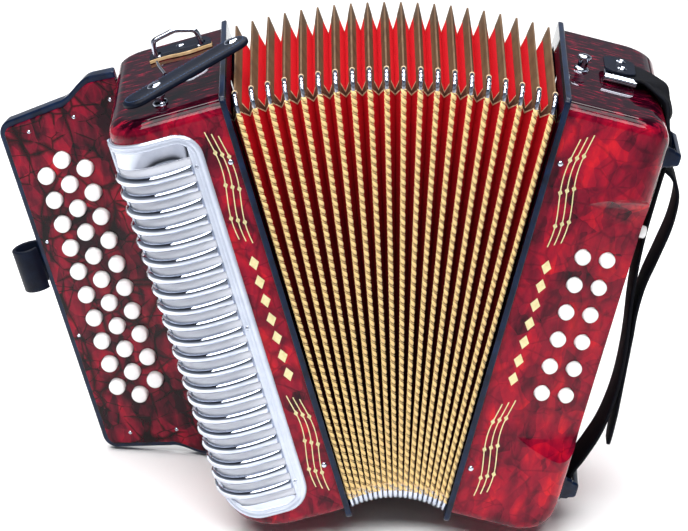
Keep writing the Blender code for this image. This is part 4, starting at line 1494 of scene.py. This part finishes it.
def build_screws():
    for i, (out, up) in enumerate(BOARD_SCREWS):
        add_screw(f"board_screw_{i + 1}", BOARD @ place(-out, 0.0, up), 1.5, 1, "treble_side", 37.0 * i)
    for i, up in enumerate(GRILLE_SCREWS):
        spot = grille_point(6.2, up, GRILLE_PLATE)
        add_screw(f"grille_screw_{i + 1}", TREBLE @ place(*spot), 2.0, 2, "treble_side", 20.0 * i)
    for side, matrix, body in ((-1, TREBLE, "treble_side"), (1, BASS, "bass_side")):
        for i, up in enumerate(PIN_RISES):
            pin = lathe([(0.02, -1.2), (1.2, -1.1), (1.9, -0.6), (2.1, 0.0), (2.1, 0.8)], 20)
            spot = matrix @ place(side * 4.4, 0.0, up)
            add_piece(f"{body}_pin_{i + 1}", pin, spot, "chrome", body, smooth=50)


def lozenge(across, up, wide, tall):
    return [(across, up - tall), (across + wide, up), (across, up + tall), (across - wide, up)]


def build_ornaments():
    """Inlaid gold: two groups of three waving rules with small lozenges, and a row of lozenges between."""
    low, high = ORNAMENT_LEVELS
    sides = (("treble", -1, TREBLE, "treble_side", 9.5), ("bass", 1, BASS, "bass_side", 15.0))
    for name, side, matrix, body, centre in sides:
        solid = bmesh.new()
        for first, last in ORNAMENT_RISES:
            for k in range(3):
                start = first + 2.5 * k
                steps = 40
                line = []
                for i in range(steps + 1):
                    share = i / steps
                    wave = 2.2 * math.sin(2 * math.pi * share + 0.6) + 1.0 * (share - 0.5)
                    line.append((side * (centre + 4.0 * (k - 1) + wave), start + (last - first) * share))
                for (a0, b0), (a1, b1) in zip(line, line[1:]):
                    prism(
                        [(a0 - 0.34, b0), (a0 + 0.34, b0), (a1 + 0.34, b1), (a1 - 0.34, b1)], "y", low,
                        high, solid,
                    )
                for spot in (8, 20, 32):
                    prism(lozenge(*line[spot], 1.5, 2.4), "y", low, high, solid)
        rows = 7
        for i in range(rows):
            up = ROW_RISE[0] + (ROW_RISE[1] - ROW_RISE[0]) * i / (rows - 1)
            prism(lozenge(side * centre, up, 3.4, 5.2), "y", low, high, solid)
        add_piece(f"{name}_ornament", solid, matrix, "gold", body)


# ---------------------------------------------------------------- inner works

def dress_inner_nodes():
    """The pieces inside keep their CAD shape and get their own bare wood and steel."""
    for node, material in (
        ("treble_reed_block", "wood"), ("bass_reed_block", "wood"), ("treble_levers", "steel")
    ):
        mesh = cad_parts[node].data
        mesh.materials.clear()
        mesh.materials.append(MATERIALS[material])


# ---------------------------------------------------------------- studio

def build_floor():
    """A plain pale floor, which darkens gently towards the back."""
    mesh = bpy.data.meshes.new("floor")
    corners = [(-FLOOR_REACH, -FLOOR_REACH), (FLOOR_REACH, -FLOOR_REACH), (FLOOR_REACH, FLOOR_REACH)]
    corners.append((-FLOOR_REACH, FLOOR_REACH))
    mesh.from_pydata([(x, y, 0.0) for x, y in corners], [], [(0, 1, 2, 3)])
    floor = bpy.data.objects.new("floor", mesh)
    floor.location.z = FLOOR_LEVEL
    bpy.context.collection.objects.link(floor)
    pale, tree, shader = start_material("pale_floor", Roughness=0.9, Specular_IOR_Level=0.0)
    spot = add_node(tree, "TexCoord").outputs["Object"]
    back = add_node(tree, "SeparateXYZ", {"Vector": spot}).outputs["Y"]
    nearness = map_range(tree, back, (FLOOR_SHADE[1], FLOOR_SHADE[0]))
    paint(tree, shader, nearness, ((0.0, (0.40, 0.40, 0.42)), (1.0, (0.97, 0.97, 0.97))))
    mesh.materials.append(pale)


def build_sky():
    """What the gloss mirrors: pale at the horizon and dark overhead."""
    world = bpy.data.worlds.new("studio")
    world.use_nodes = True
    bpy.context.scene.world = world
    tree = world.node_tree
    background = tree.nodes["Background"]
    direction = add_node(tree, "TexCoord").outputs["Generated"]
    up = add_node(tree, "SeparateXYZ", {"Vector": direction}).outputs["Z"]
    sky = ramp(tree, up, (
        (0.0, (0.50, 0.52, 0.56)), (0.25, (0.22, 0.24, 0.28)), (0.5, (0.06, 0.065, 0.08)),
        (0.85, (0.02, 0.02, 0.025)),
    ))
    tree.links.new(sky, background.inputs["Color"])
    background.inputs["Strength"].default_value = SKY_STRENGTH


def build_lights():
    for name, spot, (wide, tall), power in STUDIO_LIGHTS:
        data = bpy.data.lights.new(name, "AREA")
        data.shape = "RECTANGLE"
        data.size, data.size_y = wide, tall
        data.energy = power
        lamp = bpy.data.objects.new(name, data)
        lamp.location = spot
        lamp.rotation_euler = (Vector(LIGHT_AIM) - Vector(spot)).to_track_quat("-Z", "Y").to_euler()
        bpy.context.collection.objects.link(lamp)


def build_studio():
    bpy.context.scene.view_settings.view_transform = "Standard"
    build_floor()
    build_sky()
    build_lights()


def build_camera():
    data = bpy.data.cameras.new("camera")
    data.sensor_width = 36.0
    data.lens = CAMERA_LENS
    data.clip_end = 100.0
    camera = bpy.data.objects.new("camera", data)
    camera.location = CORNER + Vector(CAMERA_PLACE) * MM
    camera.rotation_euler = (math.radians(90.0 - CAMERA_DIP), 0.0, 0.0)
    bpy.context.collection.objects.link(camera)
    bpy.context.scene.camera = camera


build_camera()
build_studio()
build_casings()
build_grille()
build_fingerboard()
build_buttons()
build_bellows()
build_hand_strap()
build_brackets()
build_thumb_strap()
build_strap_ring()
build_bellows_strap()
build_bass_tab()
build_screws()
build_ornaments()
dress_inner_nodes()
